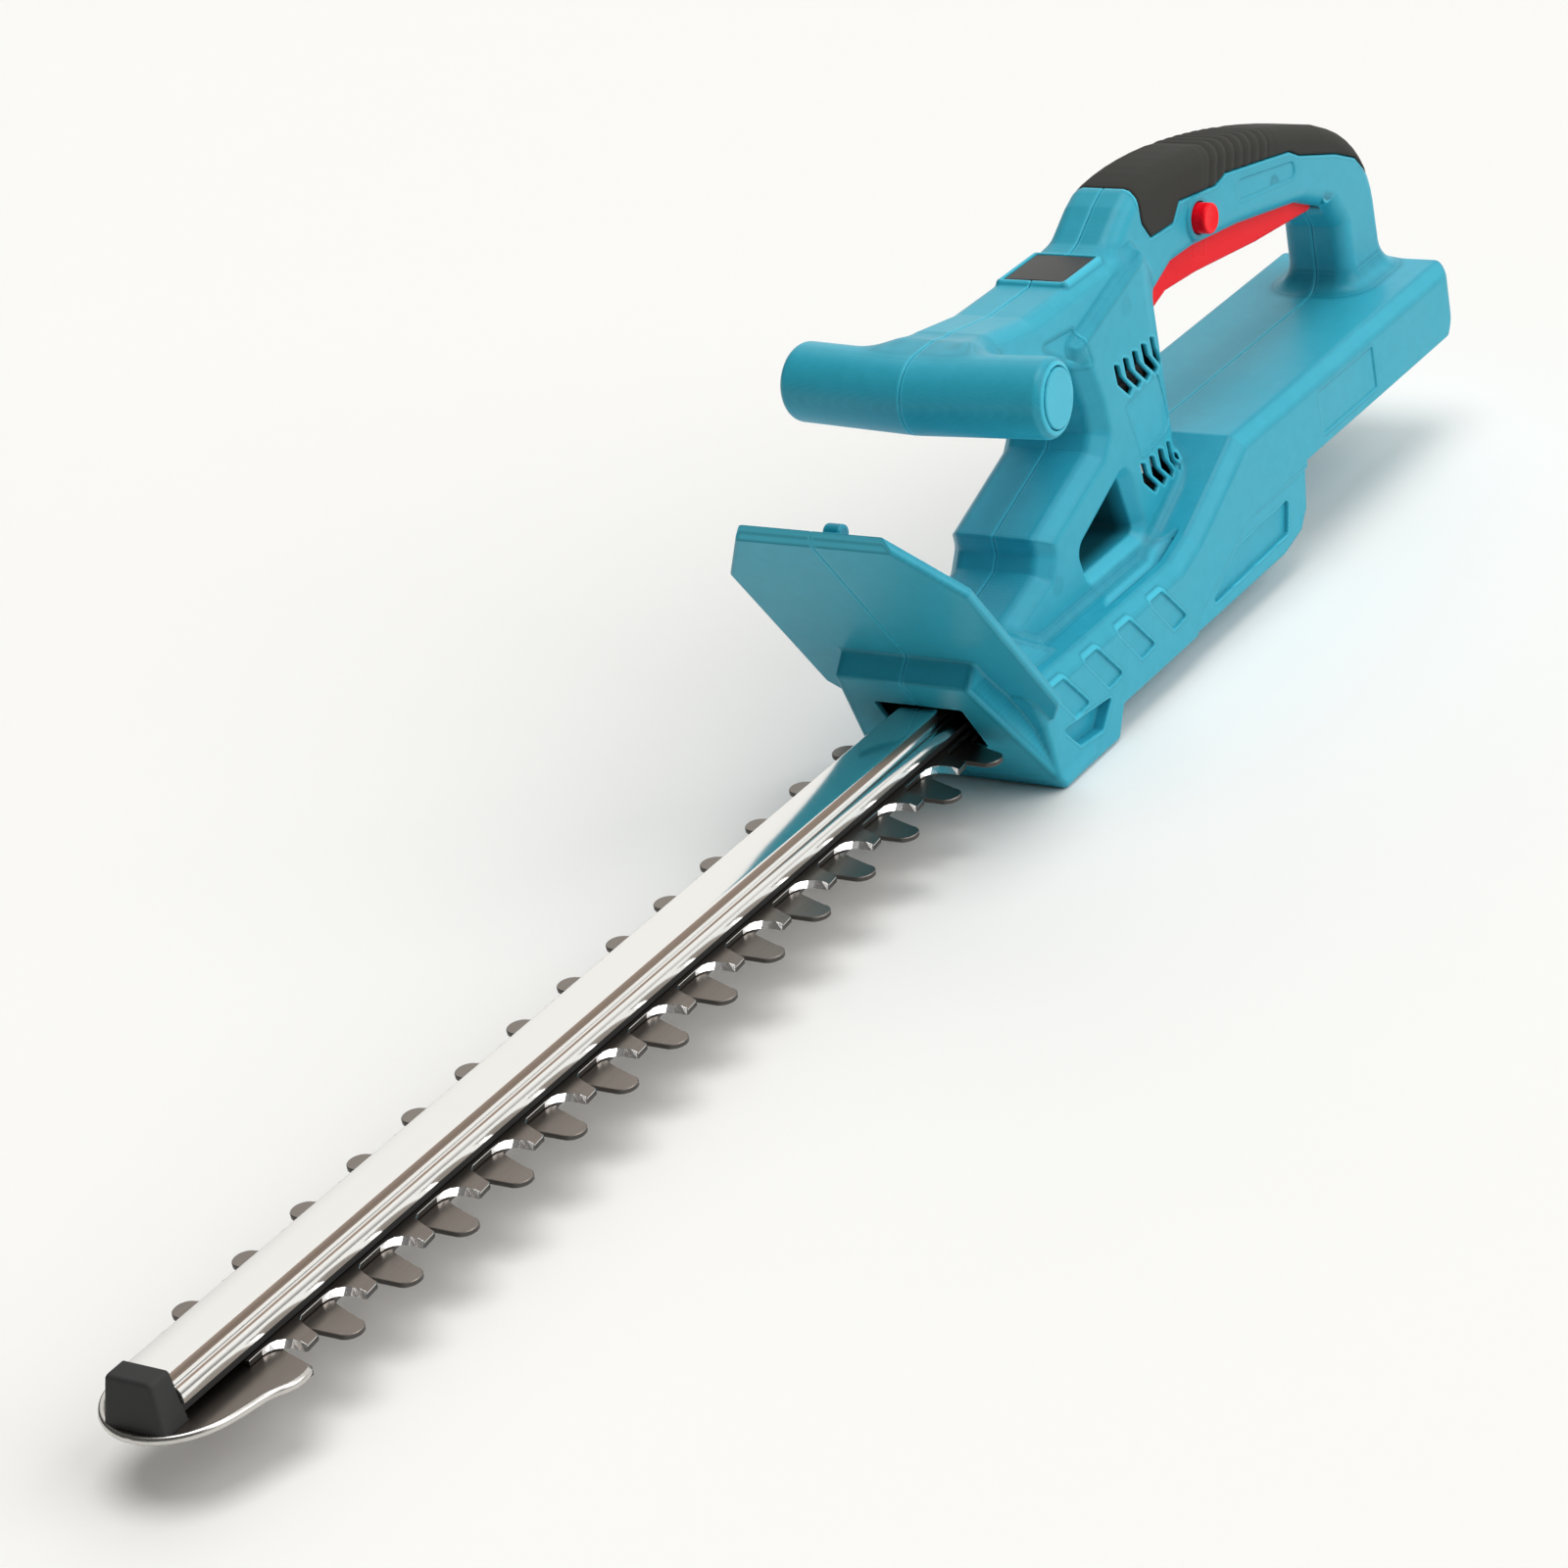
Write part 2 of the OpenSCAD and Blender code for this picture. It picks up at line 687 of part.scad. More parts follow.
// A straight-sided spur gear with slim teeth, so that a meshed pair keeps backlash
module spur(teeth, r_root, r_tip, phase) {
    half = 360 / teeth / 2;
    polygon([for (i = [0 : teeth - 1])
        each [for (q = [[r_root, -0.56], [r_tip, -0.22], [r_tip, 0.22], [r_root, 0.56]])
            let (a = (i + phase) * 2 * half + q[1] * half) [q[0] * cos(a), q[0] * sin(a)]]]);
}

module crank_gear() {
    color(steel)
        translate([crank_x, 0, gear_z])
            difference() {
                linear_extrude(gear_t)
                    spur(gear_teeth, pitch_r_gear - 1.2 * gear_module, gear_tip_r, 0.5);
                post(0, 0, crank_shaft_r, -1, gear_t + 1);
                translate([throw, 0, -1])
                    cylinder(r = pin_stub_r, h = gear_t + 2);
                for (a = [60 : 60 : 300])
                    rotate([0, 0, a])
                        post(18, 0, 5, -1, gear_t + 1);
            }
}

module crank_shaft() {
    color(steel)
        post(crank_x, 0, crank_shaft_r, gear_z, case_z + bearing_w);
}

module crank_pin() {
    color(bright)
        union() {
            post(crank_x + throw, 0, pin_stub_r, gear_z, gear_z + gear_t);
            post(crank_x + throw, 0, crank_pin_r, cutter_z + blade_t + gap, gear_z);
        }
}

module drive_pinion() {
    color(steel)
        translate([motor_x, 0, gear_z - 0.5])
            difference() {
                linear_extrude(gear_t + 1)
                    spur(pinion_teeth, pitch_r_pinion - 1.2 * gear_module, pitch_r_pinion + 0.8 * gear_module, 0);
                post(0, 0, rotor_shaft_r, -1, gear_t + 2);
            }
}

module rotor_shaft() {
    color(steel)
        post(motor_x, 0, rotor_shaft_r, gear_z - 1.5, motor_z + motor_h + 4);
}

module rotor_core() {
    color(steel)
        difference() {
            linear_extrude_at(motor_z + 9, 20)
                difference() {
                    circle(r = motor_r - 6.2);
                    circle(r = rotor_shaft_r);
                    for (a = [0 : 72 : 288])
                        rotate(a)
                            translate([motor_r - 9, -1.2])
                                square([4, 2.4]);
                }
        }
}

module linear_extrude_at(z, h) {
    translate([motor_x, 0, z])
        linear_extrude(h)
            children();
}

module rotor_winding() {
    color(copper)
        for (z = [motor_z + 4.6, motor_z + 29.4])
            tube(motor_x, 0, motor_r - 8, rotor_shaft_r, z, z + 4);
}

module commutator() {
    color(copper)
        tube(motor_x, 0, 5, rotor_shaft_r, motor_z + 34, motor_z + 42);
}

module cooling_fan() {
    fan_z = motor_z - 12;
    fan_r = motor_r - 1.5;
    color(black_plastic)
        difference() {
            union() {
                post(motor_x, 0, fan_r, fan_z, fan_z + 1.4);
                post(motor_x, 0, 5, fan_z, fan_z + 8);
                for (a = [0 : 40 : 320])
                    translate([motor_x, 0, fan_z + 1])
                        rotate([0, 0, a])
                            block([4, -0.6, 0], [fan_r - 0.5, 0.6, 7]);
            }
            post(motor_x, 0, rotor_shaft_r, fan_z - 1, fan_z + 10);
        }
}

module motor_can() {
    color(steel)
        difference() {
            post(motor_x, 0, motor_r, motor_z, motor_z + motor_h - 5);
            post(motor_x, 0, motor_r - 1.5, motor_z + 1.5, motor_z + motor_h);
            post(motor_x, 0, 4.5, motor_z - 1, motor_z + 3);
        }
}

module motor_magnets() {
    color([0.2, 0.2, 0.22])
        difference() {
            tube(motor_x, 0, motor_r - 1.5, motor_r - 5.5, motor_z + 6, motor_z + 33);
            block([motor_x - 30, -3, motor_z], [motor_x + 30, 3, motor_z + 40]);
        }
}

module motor_end_cap() {
    top = motor_z + motor_h;
    color(black_plastic)
        difference() {
            union() {
                post(motor_x, 0, motor_r, top - 5, top);
                post(motor_x, 0, motor_r - 1.5, top - 7, top - 4);
            }
            post(motor_x, 0, motor_r - 4, top - 8, top - 3);
            post(motor_x, 0, 4.5, top - 4, top + 1);
        }
}

module motor_brushes() {
    color([0.15, 0.15, 0.15])
        for (side = [-1, 1])
            block([motor_x - 2.5, side > 0 ? 5.3 : -11.3, motor_z + 35],
                [motor_x + 2.5, side > 0 ? 11.3 : -5.3, motor_z + 38.5]);
}

module motor_bushes() {
    color(copper)
        for (z = [motor_z - 1, motor_z + motor_h - 3])
            tube(motor_x, 0, 4.5, rotor_shaft_r + 0.05, z, z + 4);
}

module trigger() {
    color(red)
        difference() {
            union() {
                side_slab(concat(trigger_under, trigger_over), -trigger_half, trigger_half);
                cross_rod(trigger_pivot[0], trigger_pivot[1], 4, -trigger_half, trigger_half);
                side_slab([[loop_rear_x + 5, trigger_pivot[1] + 3], [loop_rear_x + 9, trigger_pivot[1] - 5],
                    [along(-272), grip_top_z - 60], [along(-276), grip_top_z - 57]],
                    -trigger_half, trigger_half);
            }
            cross_rod(trigger_pivot[0], trigger_pivot[1], 2.05, -20, 20);
        }
}

module trigger_pin() {
    color(steel)
        cross_rod(trigger_pivot[0], trigger_pivot[1], 2, -half_handle + 3, half_handle - 3);
}

// A coil of round wire as a stack of rings, standing along Z
module coil(r, wire, turns, pitch) {
    for (i = [0 : turns - 1])
        translate([0, 0, i * pitch + wire])
            rotate_extrude()
                translate([r, 0])
                    circle(r = wire, $fn = 16);
    for (i = [0 : turns - 2])
        translate([r, 0, i * pitch + wire])
            cylinder(r = wire * 0.8, h = pitch);
}

module trigger_spring() {
    color(steel)
        translate([along(-215), 0, grip_top_z - 48.7])
            coil(3, 0.5, 7, 1.4);
}

module lock_button() {
    color(red)
        union() {
            cross_rod(button_x, button_z, button_r, half_handle - rubber_t - 1.3, half_handle + button_out);
            cross_rod(button_x, button_z, 2.6, -stem_end, half_handle - 2);
        }
}

module lock_spring() {
    color(steel)
        translate([button_x, -stem_end - gap, button_z])
            rotate([90, 0, 0])
                coil(2.2, 0.4, 4, 1.3);
}

module trigger_switch() {
    color(black_plastic)
        block([switch_x - 15, -7, grip_top_z - 39], [switch_x + 15, 7, grip_top_z - 26]);
}

module control_board() {
    color([0.1, 0.35, 0.15])
        block([rear_x + 30, -28, dock_z + 8], [dock_x - 36, 28, dock_z + 9.6]);
}

// The chips and cans are spread and sized to the length of the board
module board_parts() {
    board_top = dock_z + 9.6;
    board_x = rear_x + 30;
    share = (dock_x - 36 - board_x) / board_pattern_len;
    color(black_plastic) {
        for (i = [0 : 2])
            block([board_x + (10 + 16 * i) * share, -20, board_top],
                [board_x + (20 + 16 * i) * share, -12, board_top + 4]);
        for (i = [0 : 1])
            post(board_x + (16 + 20 * i) * share, 12, 5 * share, board_top, board_top + 10);
    }
}

module terminal_block() {
    color(black_plastic)
        block([dock_x - 12, -17, 25], [dock_x - 1, 17, dock_z - 9]);
}

module terminal_blades() {
    color(copper)
        for (y = [-11, 0, 11])
            block([dock_x - 27, y - 0.4, 27], [dock_x - 12, y + 0.4, dock_z - 11]);
}

left_shell();
right_shell();
grip_cover();
front_grip_cap_left();
front_grip_cap_right();
indicator_window();
indicator_board();
shell_screws();
blade_comb();
blade_cutter();
clamp_strip();
blade_bar();
bar_end_cap();
blade_bolts();
guide_bushes();
lock_nuts();
gear_case();
gear_case_screws();
crank_bearing();
crank_gear();
crank_shaft();
crank_pin();
drive_pinion();
rotor_shaft();
rotor_core();
rotor_winding();
commutator();
cooling_fan();
motor_can();
motor_magnets();
motor_end_cap();
motor_brushes();
motor_bushes();
trigger();
trigger_pin();
trigger_spring();
lock_button();
lock_spring();
trigger_switch();
control_board();
board_parts();
terminal_block();
terminal_blades();
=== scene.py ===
"""Looks of a cordless hedge trimmer: shells, blades, bar, grips and finishes round the fixed frame."""
import math

import bmesh
import bpy
import numpy as np
import openvdb
from mathutils import Matrix, Vector


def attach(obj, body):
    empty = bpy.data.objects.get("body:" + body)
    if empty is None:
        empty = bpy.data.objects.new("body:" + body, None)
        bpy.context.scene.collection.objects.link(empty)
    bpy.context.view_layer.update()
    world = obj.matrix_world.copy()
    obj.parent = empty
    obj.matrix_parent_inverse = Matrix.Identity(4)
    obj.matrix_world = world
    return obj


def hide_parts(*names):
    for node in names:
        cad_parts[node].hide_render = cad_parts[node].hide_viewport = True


bl_info = {
    "name": "Hedge Trimmer Looks",
    "version": (1, 0, 0),
    "blender": (4, 5, 0),
    "location": "View3D > Sidebar > Hedge Trimmer",
    "description": "Builds the shells, blades, guide bar, handles and finishes of a cordless hedge trimmer",
    "category": "Object",
}

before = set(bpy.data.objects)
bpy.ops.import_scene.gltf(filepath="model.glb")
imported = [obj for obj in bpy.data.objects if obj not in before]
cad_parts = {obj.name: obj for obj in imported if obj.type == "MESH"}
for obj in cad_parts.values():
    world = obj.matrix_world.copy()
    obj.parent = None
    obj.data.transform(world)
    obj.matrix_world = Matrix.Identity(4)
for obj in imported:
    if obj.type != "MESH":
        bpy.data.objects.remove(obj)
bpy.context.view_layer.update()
MM = 0.001

# ---------------------------------------------------------------- outlines, in millimetres, as (X, Z)

HALF_BODY = 44.0
HALF_COLUMN = 24.0
HALF_BRIDGE = 20.0
HALF_HANDLE = 16.0
WALL = 2.6
MOTOR_ROUND_X = -118.0

BASE = [(-341, 44), (-200, 44), (-196, 24), (-189, 16), (-172, 12), (-27, 12), (-20, 0), (24, 0), (29, 6),
        (33, 31), (41, 49), (-83, 49), (-100, 54), (-138, 73), (-147, 78), (-348, 78), (-353, 72), (-352, 58)]
BASE_TOP_LINE = [(90, -90), (90, 49), (-83, 49), (-100, 54), (-138, 73), (-147, 78), (-420, 78), (-420, -90)]
NOSE = [(0, 3), (24, 0), (29, 6), (63, 60), (55, 69), (30, 69), (0, 49)]
NOSE_SECTION = [(-44, -20), (44, -20), (44, 6), (31, 60), (31, 90), (-31, 90), (-31, 60), (-44, 6)]
HOUSING = [(45, 56), (18, 64), (-14, 73), (-18, 79), (-17, 87), (-66, 104), (-71, 110), (-70, 122),
           (-64, 140),
           (-64, 150), (-125, 168), (-138, 150), (-138, 135), (-136, 116), (-141, 90), (-142, 40), (45, 40)]
HOUSING_FRONT = [(-220, 20), (45, 20), (45, 56), (18, 64), (-14, 73), (-18, 79), (-17, 87), (-66, 104),
                 (-71, 110), (-70, 122), (-64, 140), (-50, 160), (-50, 260), (-220, 260)]
COLUMN_WINDOW = [(-84, 86), (-91, 58), (-48, 58), (-45, 70)]
BRIDGE = [(8, 176), (-12, 176.5), (-40, 172), (-100, 171.6), (-114, 170.5), (-126, 158), (-66, 141),
          (-40, 144),
          (0, 148)]


def bezier(a, b, c, d, steps):
    """Points along the cubic curve through four control points."""
    t = np.linspace(0, 1, steps + 1)[:, None]
    a, b, c, d = (np.array(p, float) for p in (a, b, c, d))
    return [tuple(p) for p in (1 - t) ** 3 * a + 3 * t * (1 - t) ** 2 * b + 3 * t * t * (1 - t) * c + t ** 3
            * d]


HANDLE_TOP = ([(-102, 171.5), (-106, 171.7), (-112, 174.4), (-121, 180.1), (-128, 184.6)]
              + bezier((-136, 188.2), (-170, 194.5), (-235, 182.5), (-300, 158), 14)
              + bezier((-312, 152), (-331, 142), (-341, 126), (-342, 110), 8))
HANDLE_UNDER = [(-306, 75), (-307, 108), (-300, 120), (-276, 131), (-222, 141.5), (-181, 147), (-160, 147.5),
                (-137, 139), (-120, 137)]
HANDLE = HANDLE_TOP + [(-343, 75)] + HANDLE_UNDER + [(-102, 160)]
COVER = [(-140, 230), (-139.5, 189), (-138, 182), (-138.5, 174), (-144, 166), (-163, 165), (-170, 172),
         (-202, 167), (-211, 169),
         (-267, 158), (-276, 153), (-308, 142), (-325, 134), (-337, 121), (-373, 121), (-373, 230)]
SLOT = [(-137, 120), (-303, 102), (-303, 134), (-276, 142), (-181, 159), (-160, 162), (-139.5, 161),
        (-137, 158)]
TRIGGER = [(-139, 131), (-149, 130), (-164, 134), (-191, 132), (-244, 125), (-294, 120.5), (-297, 124),
           (-276, 133),
           (-222, 142), (-181, 147), (-160, 146.5), (-141, 147)]
PIVOT = (-298.0, 128.0)
BUTTON = (-182.0, 160.0)
BUTTON_R = 6.5

GRIP_CENTRE = (16.0, 162.0)
GRIP_R = 16.0
GRIP_HALF_SPAN = 59.0
GRIP_SWEEP = math.radians(5)
CAP_R = 12.0

GUARD_FOOT = (57.0, 71.0)
GUARD_LEAN = math.radians(35.5)
GUARD_T = 4.5
GUARD = [(-46, -47), (46, -47), (54, -34), (54, 51), (32, 86), (-32, 86), (-54, 51), (-54, -34)]

SQUARE = [(-67.5, 43.5), (-56.5, 43.5), (-72, 24.5), (-83.5, 25.5)]
SQUARE_PITCH = 27.4
POCKET = [(21, 24), (-18, 20), (-8, 10), (10, 12)]
REAR_PANEL = [(-268, 50), (-216, 50), (-216, 69), (-268, 69)]
LOWER_BOX = [(-88, 5), (-91, 15), (-97, 20), (-142, 40), (-149, 41.5), (-210, 42), (-210, 5)]
WEDGE = [(-180, 35), (-176, 21), (-104, 19), (-133, 34)]
BRIDGE_PANEL = [(-42, 159), (-67.5, 156.5), (-73.5, 139.5), (-68, 141)]
COLUMN_PANEL = [(-93, 113), (-121, 116), (-129, 92), (-100, 88)]
HANDLE_PANEL = [(-219, 162.5), (-270, 152.5), (-270, 145.5), (-219, 153.5)]
# Sunk panels: outline, depth, lowest Y that they reach and corner rounding
PANELS = [(LOWER_BOX, 1.0, 36, 1.5), (WEDGE, 2.0, 36, 1.5), (REAR_PANEL, 0.8, 36, 1.0),
          (BRIDGE_PANEL, 0.45, 12, 1.0),
          (COLUMN_PANEL, 0.8, 5, 2.0), (HANDLE_PANEL, 0.7, 8, 3.4), (POCKET, 5.5, 30, 1.0)]
CHEVRON = [(0, 0), (4, 2), (3, -7), (-5, -15), (-8, -13), (-1, -5)]
VENT_ROWS = [(-92, 131), (-101, 84)]
VENT_PITCH = 7.6
WINDOW_LOW, WINDOW_HIGH = (-102.5, -14.0, 170.0), (-75.0, 14.0, 172.3)

SCREWS = [(8, 13, 38), (-50, 17.5, 38), (-186, 34, 38), (-338, 61, 38), (-224, 61, 38), (-30, 158, 20),
          (-104, 152, 24), (-252, 149, 16), (-329, 96, 16), (-22, 65, 24)]

# ---------------------------------------------------------------- blade stack, in millimetres

COMB_Z, CUTTER_Z, BLADE_T = 26.0, 28.3, 2.0
# Radii of the holes for the head, the shank and the thread of each shell screw
SCREW_HEAD_R, SCREW_SHANK_R, SCREW_PILOT_R = 3.7, 1.8, 1.6
# Direction of the bright side of the surroundings
BRIGHT_SKY_SIDE = (-0.92, -0.06, 0.39)
BAR_Z = 34.0
FIRST_TOOTH = 54.0
BAR_START, BAR_END, TIP = 30.0, 533.0, 548.0
COMB_TAIL, COMB_SPINE = -44.0, 15.0
CUTTER_TAIL, CUTTER_SPINE, CRANK_X = -90.0, 13.5, -78.0
BOLTS = [-34.0, -10.0, 86.0, 182.0, 278.0, 374.0, 470.0]
THROW = 7.5
STAGGER = 9.0


# ---------------------------------------------------------------- signed distances

def polygon_distance(points, u, v):
    """Signed distance from (u, v) to a closed outline, negative inside it."""
    p = np.array(points, np.float32)
    best = None
    inside = np.zeros(np.broadcast(u, v).shape, bool)
    for a, b in zip(p, np.roll(p, -1, 0)):
        e = b - a
        du, dv = u - a[0], v - a[1]
        t = np.clip((du * e[0] + dv * e[1]) / max(float(e @ e), 1e-9), 0, 1)
        square = (du - e[0] * t) ** 2 + (dv - e[1] * t) ** 2
        best = square if best is None else np.minimum(best, square)
        if e[1]:
            inside ^= ((a[1] <= v) != (b[1] <= v)) & (u < a[0] + dv * (e[0] / e[1]))
    return np.where(inside, -np.sqrt(best), np.sqrt(best)).astype(np.float32)


def inset(points, d):
    """An outline moved inwards by d."""
    p = np.array(points, float)
    n = len(p)
    area = sum(p[i][0] * p[(i + 1) % n][1] - p[(i + 1) % n][0] * p[i][1] for i in range(n))
    side = d if area > 0 else -d
    out = []
    for i in range(n):
        u, v = p[i] - p[i - 1], p[(i + 1) % n] - p[i]
        u, v = np.array((-u[1], u[0])) / np.hypot(*u), np.array((-v[1], v[0])) / np.hypot(*v)
        out.append(tuple(p[i] + side * (u + v) / (1 + u @ v)))
    return out


def smooth_min(a, b, k):
    """Union of two distances with a fillet of about k."""
    h = np.clip(0.5 + 0.5 * (b - a) / k, 0, 1)
    return b + (a - b) * h - k * h * (1 - h)


def smooth_max(a, b, k):
    return -smooth_min(-a, -b, k)


def extruded(d, w, r):
    """Distance to an outline's distance d pushed to half-thickness distance w, with edges rounded by r."""
    d, w = d + r, w + r
    return np.minimum(np.maximum(d, w), 0) + np.sqrt(np.maximum(d, 0) ** 2 + np.maximum(w, 0) ** 2) - r


class Field:
    """Signed distances on an even grid of cells, in millimetres."""

    def __init__(self, low, high, cell):
        self.low, self.cell = np.array(low, float), cell
        count = np.ceil((np.array(high, float) - self.low) / cell).astype(int) + 1
        self.axes = [(self.low[i] + cell * np.arange(count[i])).astype(np.float32) for i in range(3)]
        self.d = np.full(tuple(count), 40.0, np.float32)
        self.outer = None

    def copy(self):
        other = Field.__new__(Field)
        other.low, other.cell, other.axes, other.d = self.low, self.cell, self.axes, self.d.copy()
        other.outer = self.outer
        return other

    def part(self, low, high):
        """The slices and coordinates of the cells between two corners."""
        cut = [slice(max(0, np.searchsorted(a, lo)), np.searchsorted(a, hi, side="right"))
               for a, lo, hi in zip(self.axes, low, high)]
        x, y, z = (a[c] for a, c in zip(self.axes, cut))
        return tuple(cut), x[:, None, None], y[None, :, None], z[None, None, :]

    def add(self, shape, low, high, k=0.0):
        cut, x, y, z = self.part(low, high)
        new = shape(x, y, z)
        blunt = k(z) if callable(k) else k
        self.d[cut] = np.minimum(self.d[cut], new) if isinstance(blunt, float) and not blunt else smooth_min(
            self.d[cut], new, blunt)

    def cut(self, shape, low, high, k=0.0):
        cut, x, y, z = self.part(low, high)
        new = -shape(x, y, z)
        self.d[cut] = smooth_max(self.d[cut], new, k) if k else np.maximum(self.d[cut], new)

    def sink(self, points, depth, low, high, r=1.2, k=0.25):
        """A panel sunk to an even depth below whatever surface lies there."""
        cut, x, _, z = self.part(low, high)
        d = polygon_distance(inset(points, r), x[:, :, 0], z[0])[:, None, :] - r
        self.d[cut] = smooth_max(self.d[cut], -smooth_max(d, -depth - self.d[cut], k), k)

    def sample(self, p, values=None):
        """The distance at any points, by straight blending between cells."""
        values = self.d if values is None else values
        q = (p - self.low) / self.cell
        i = np.clip(np.floor(q).astype(int), 0, np.array(self.d.shape) - 2)
        f = np.clip(q - i, 0, 1).astype(np.float32)
        total = 0
        for dx in (0, 1):
            for dy in (0, 1):
                for dz in (0, 1):
                    w = (f[:, 0] if dx else 1 - f[:, 0]) * (f[:, 1] if dy else 1 - f[:, 1])
                    w = w * (f[:, 2] if dz else 1 - f[:, 2])
                    total = total + w * values[i[:, 0] + dx, i[:, 1] + dy, i[:, 2] + dz]
        return total

    def mesh(self, name, adaptivity=0.0, mirror=False):
        """A mesh of the zero surface, with its normals, its edge and hollow marks for painted highlight and
        painted shade, and a mark of depth inside the shells for painted shade there.
        """
        band = 3 * self.cell
        grid = openvdb.FloatGrid(band)
        grid.copyFromArray(np.clip(self.d, -band, band))
        points, triangles, quads = grid.convertToPolygons(isovalue=0.0, adaptivity=adaptivity)
        p = points * self.cell + self.low
        step = 0.7 * self.cell
        shift = np.eye(3) * step
        normal = np.stack([self.sample(p + s) - self.sample(p - s) for s in shift], 1)
        normal /= np.maximum(np.linalg.norm(normal, axis=1, keepdims=True), 1e-6)
        # Painted light marks: edge is high on convex edges, which get a painted highlight; hollow is high in
        # concave corners, which get painted shade.
        probe = 1.6
        edge = np.clip((probe + self.sample(p - normal * probe)) / probe, 0, 1)
        hollow = np.clip((probe - self.sample(p + normal * probe)) / probe, 0, 1)
        # Painted shade inside the shells: this mark grows with depth below the outer skin, more gently in the
        # tunnel behind the column window, so openings are painted dark.
        inner = np.zeros(len(p))
        if self.outer is not None:
            depth = -self.sample(p, self.outer)
            tunnel = (p[:, 0] > -99) & (p[:, 0] < -34) & (p[:, 2] > 44) & (p[:, 2] < 94)
            inner = np.clip(np.where(tunnel, 0.8 * (depth - 5) / 8, (depth - 1.2) / 0.9), 0,
                            np.where(tunnel, 0.8, 1))
        if mirror:
            p[:, 1] *= -1
            normal[:, 1] *= -1
        mesh = bpy.data.meshes.new(name)
        n3, n4 = len(triangles), len(quads)
        flip = mirror
        triangles, quads = (a[:, ::-1] if flip else a for a in (triangles, quads))
        mesh.vertices.add(len(p))
        mesh.vertices.foreach_set("co", (p * MM).astype(np.float32).ravel())
        mesh.loops.add(3 * n3 + 4 * n4)
        mesh.loops.foreach_set("vertex_index",
                               np.concatenate((triangles.ravel(), quads.ravel())).astype(np.int32))
        mesh.polygons.add(n3 + n4)
        starts = np.concatenate((3 * np.arange(n3), 3 * n3 + 4 * np.arange(n4))).astype(np.int32)
        mesh.polygons.foreach_set("loop_start", starts)
        mesh.update(calc_edges=True)
        mesh.validate()
        mesh.shade_smooth()
        if len(mesh.vertices) == len(p):
            mesh.normals_split_custom_set_from_vertices(normal.astype(np.float32))
            for label, values in (("edge", edge), ("hollow", hollow), ("inner", inner)):
                mesh.attributes.new(label, "FLOAT", "POINT").data.foreach_set("value",
                                                                              values.astype(np.float32))
        return mesh


def slab(points, half, r):
    """A side outline pushed to half-width half, every edge rounded by r."""
    core = inset(points, r) if r else points

    def shape(x, y, z):
        d = polygon_distance(core, x[:, :, 0], z[0])[:, None, :] if x.ndim == 3 else polygon_distance(core, x,
                                                                                                      z)
        return extruded(d - r, np.abs(y) - half, r)
    return shape


def rod_y(x0, z0, r, y0, y1, edge):
    """A round bar across the tool."""
    def shape(x, y, z):
        return extruded(np.hypot(x - x0, z - z0) - r, np.abs(y - (y0 + y1) / 2) - (y1 - y0) / 2, edge)
    return shape


def brick(low, high, r):
    mid, half = (np.array(low) + high) / 2, (np.array(high, float) - low) / 2

    def shape(x, y, z):
        q = [np.abs(v - m) - h + r for v, m, h in zip((x, y, z), mid, half)]
        out = np.sqrt(sum(np.maximum(v, 0) ** 2 for v in q))
        return out + np.minimum(np.maximum(np.maximum(q[0], q[1]), q[2]), 0) - r
    return shape


def base_shape(x, y, z):
    body = slab(BASE, HALF_BODY, 2.2)(x, y, z)
    top = polygon_distance(BASE_TOP_LINE, x[:, :, 0], z[0])[:, None, :]
    ridge = (top + np.abs(y) - HALF_BODY + 5.5) / math.sqrt(2)
    corner = (-353 - x + np.abs(y) - HALF_BODY + 7) / math.sqrt(2)
    return smooth_max(smooth_max(body, ridge, 1.2), corner, 3)


def nose_shape(x, y, z):
    side = polygon_distance(NOSE_SECTION, y[0], z[0])[None]
    return smooth_max(slab(NOSE, HALF_BODY, 1.8)(x, y, z), side, 2.2)


def column_side(x, y):
    """Distance from the column's plan: straight sides in front, a half round behind."""
    return np.where(x < MOTOR_ROUND_X, np.hypot(x - MOTOR_ROUND_X, y), np.abs(y)) - HALF_COLUMN


def housing_shape(x, y, z):
    outline = polygon_distance(HOUSING, x[:, :, 0], z[0])[:, None, :]
    front = polygon_distance(HOUSING_FRONT, x[:, :, 0], z[0])[:, None, :]
    side = column_side(x, y)
    return smooth_max(smooth_max(outline, side, 2.5), (front + side + 6.5) / math.sqrt(2), 1.6)


def grip_axes(x, y, z):
    """Distance along the swept front grip and out from its axis, for the right side."""
    s, c = math.sin(GRIP_SWEEP), math.cos(GRIP_SWEEP)
    dx = x - GRIP_CENTRE[0]
    return y * c - dx * s, np.hypot(dx * c + y * s, z - GRIP_CENTRE[1])


def grip_shape(x, y, z):
    along, out = grip_axes(x, y, z)
    return extruded(out - GRIP_R, along - GRIP_HALF_SPAN, 4.2)


def cap_shape(r, depth, edge):
    def shape(x, y, z):
        along, out = grip_axes(x, y, z)
        return extruded(out - r, np.abs(along - GRIP_HALF_SPAN + depth / 2 - 0.2) - depth / 2 - 0.2, edge)
    return shape


def guard_shape(x, y, z):
    s, c = math.sin(GUARD_LEAN), math.cos(GUARD_LEAN)
    dx, dz = x - GUARD_FOOT[0], z - GUARD_FOOT[1]
    through, up = dx * c - dz * s, dx * s + dz * c
    r = 1.3
    plan = polygon_distance(inset(GUARD, r), *np.broadcast_arrays(y, up)) - r
    return extruded(plan, np.abs(through + GUARD_T / 2) - GUARD_T / 2, r)


def flared_window(x, y, z):
    d = polygon_distance(inset(COLUMN_WINDOW, 3), x[:, :, 0], z[0])[:, None, :] - 3
    return d - 0.9 * np.maximum(np.abs(y) - HALF_COLUMN + 5, 0)


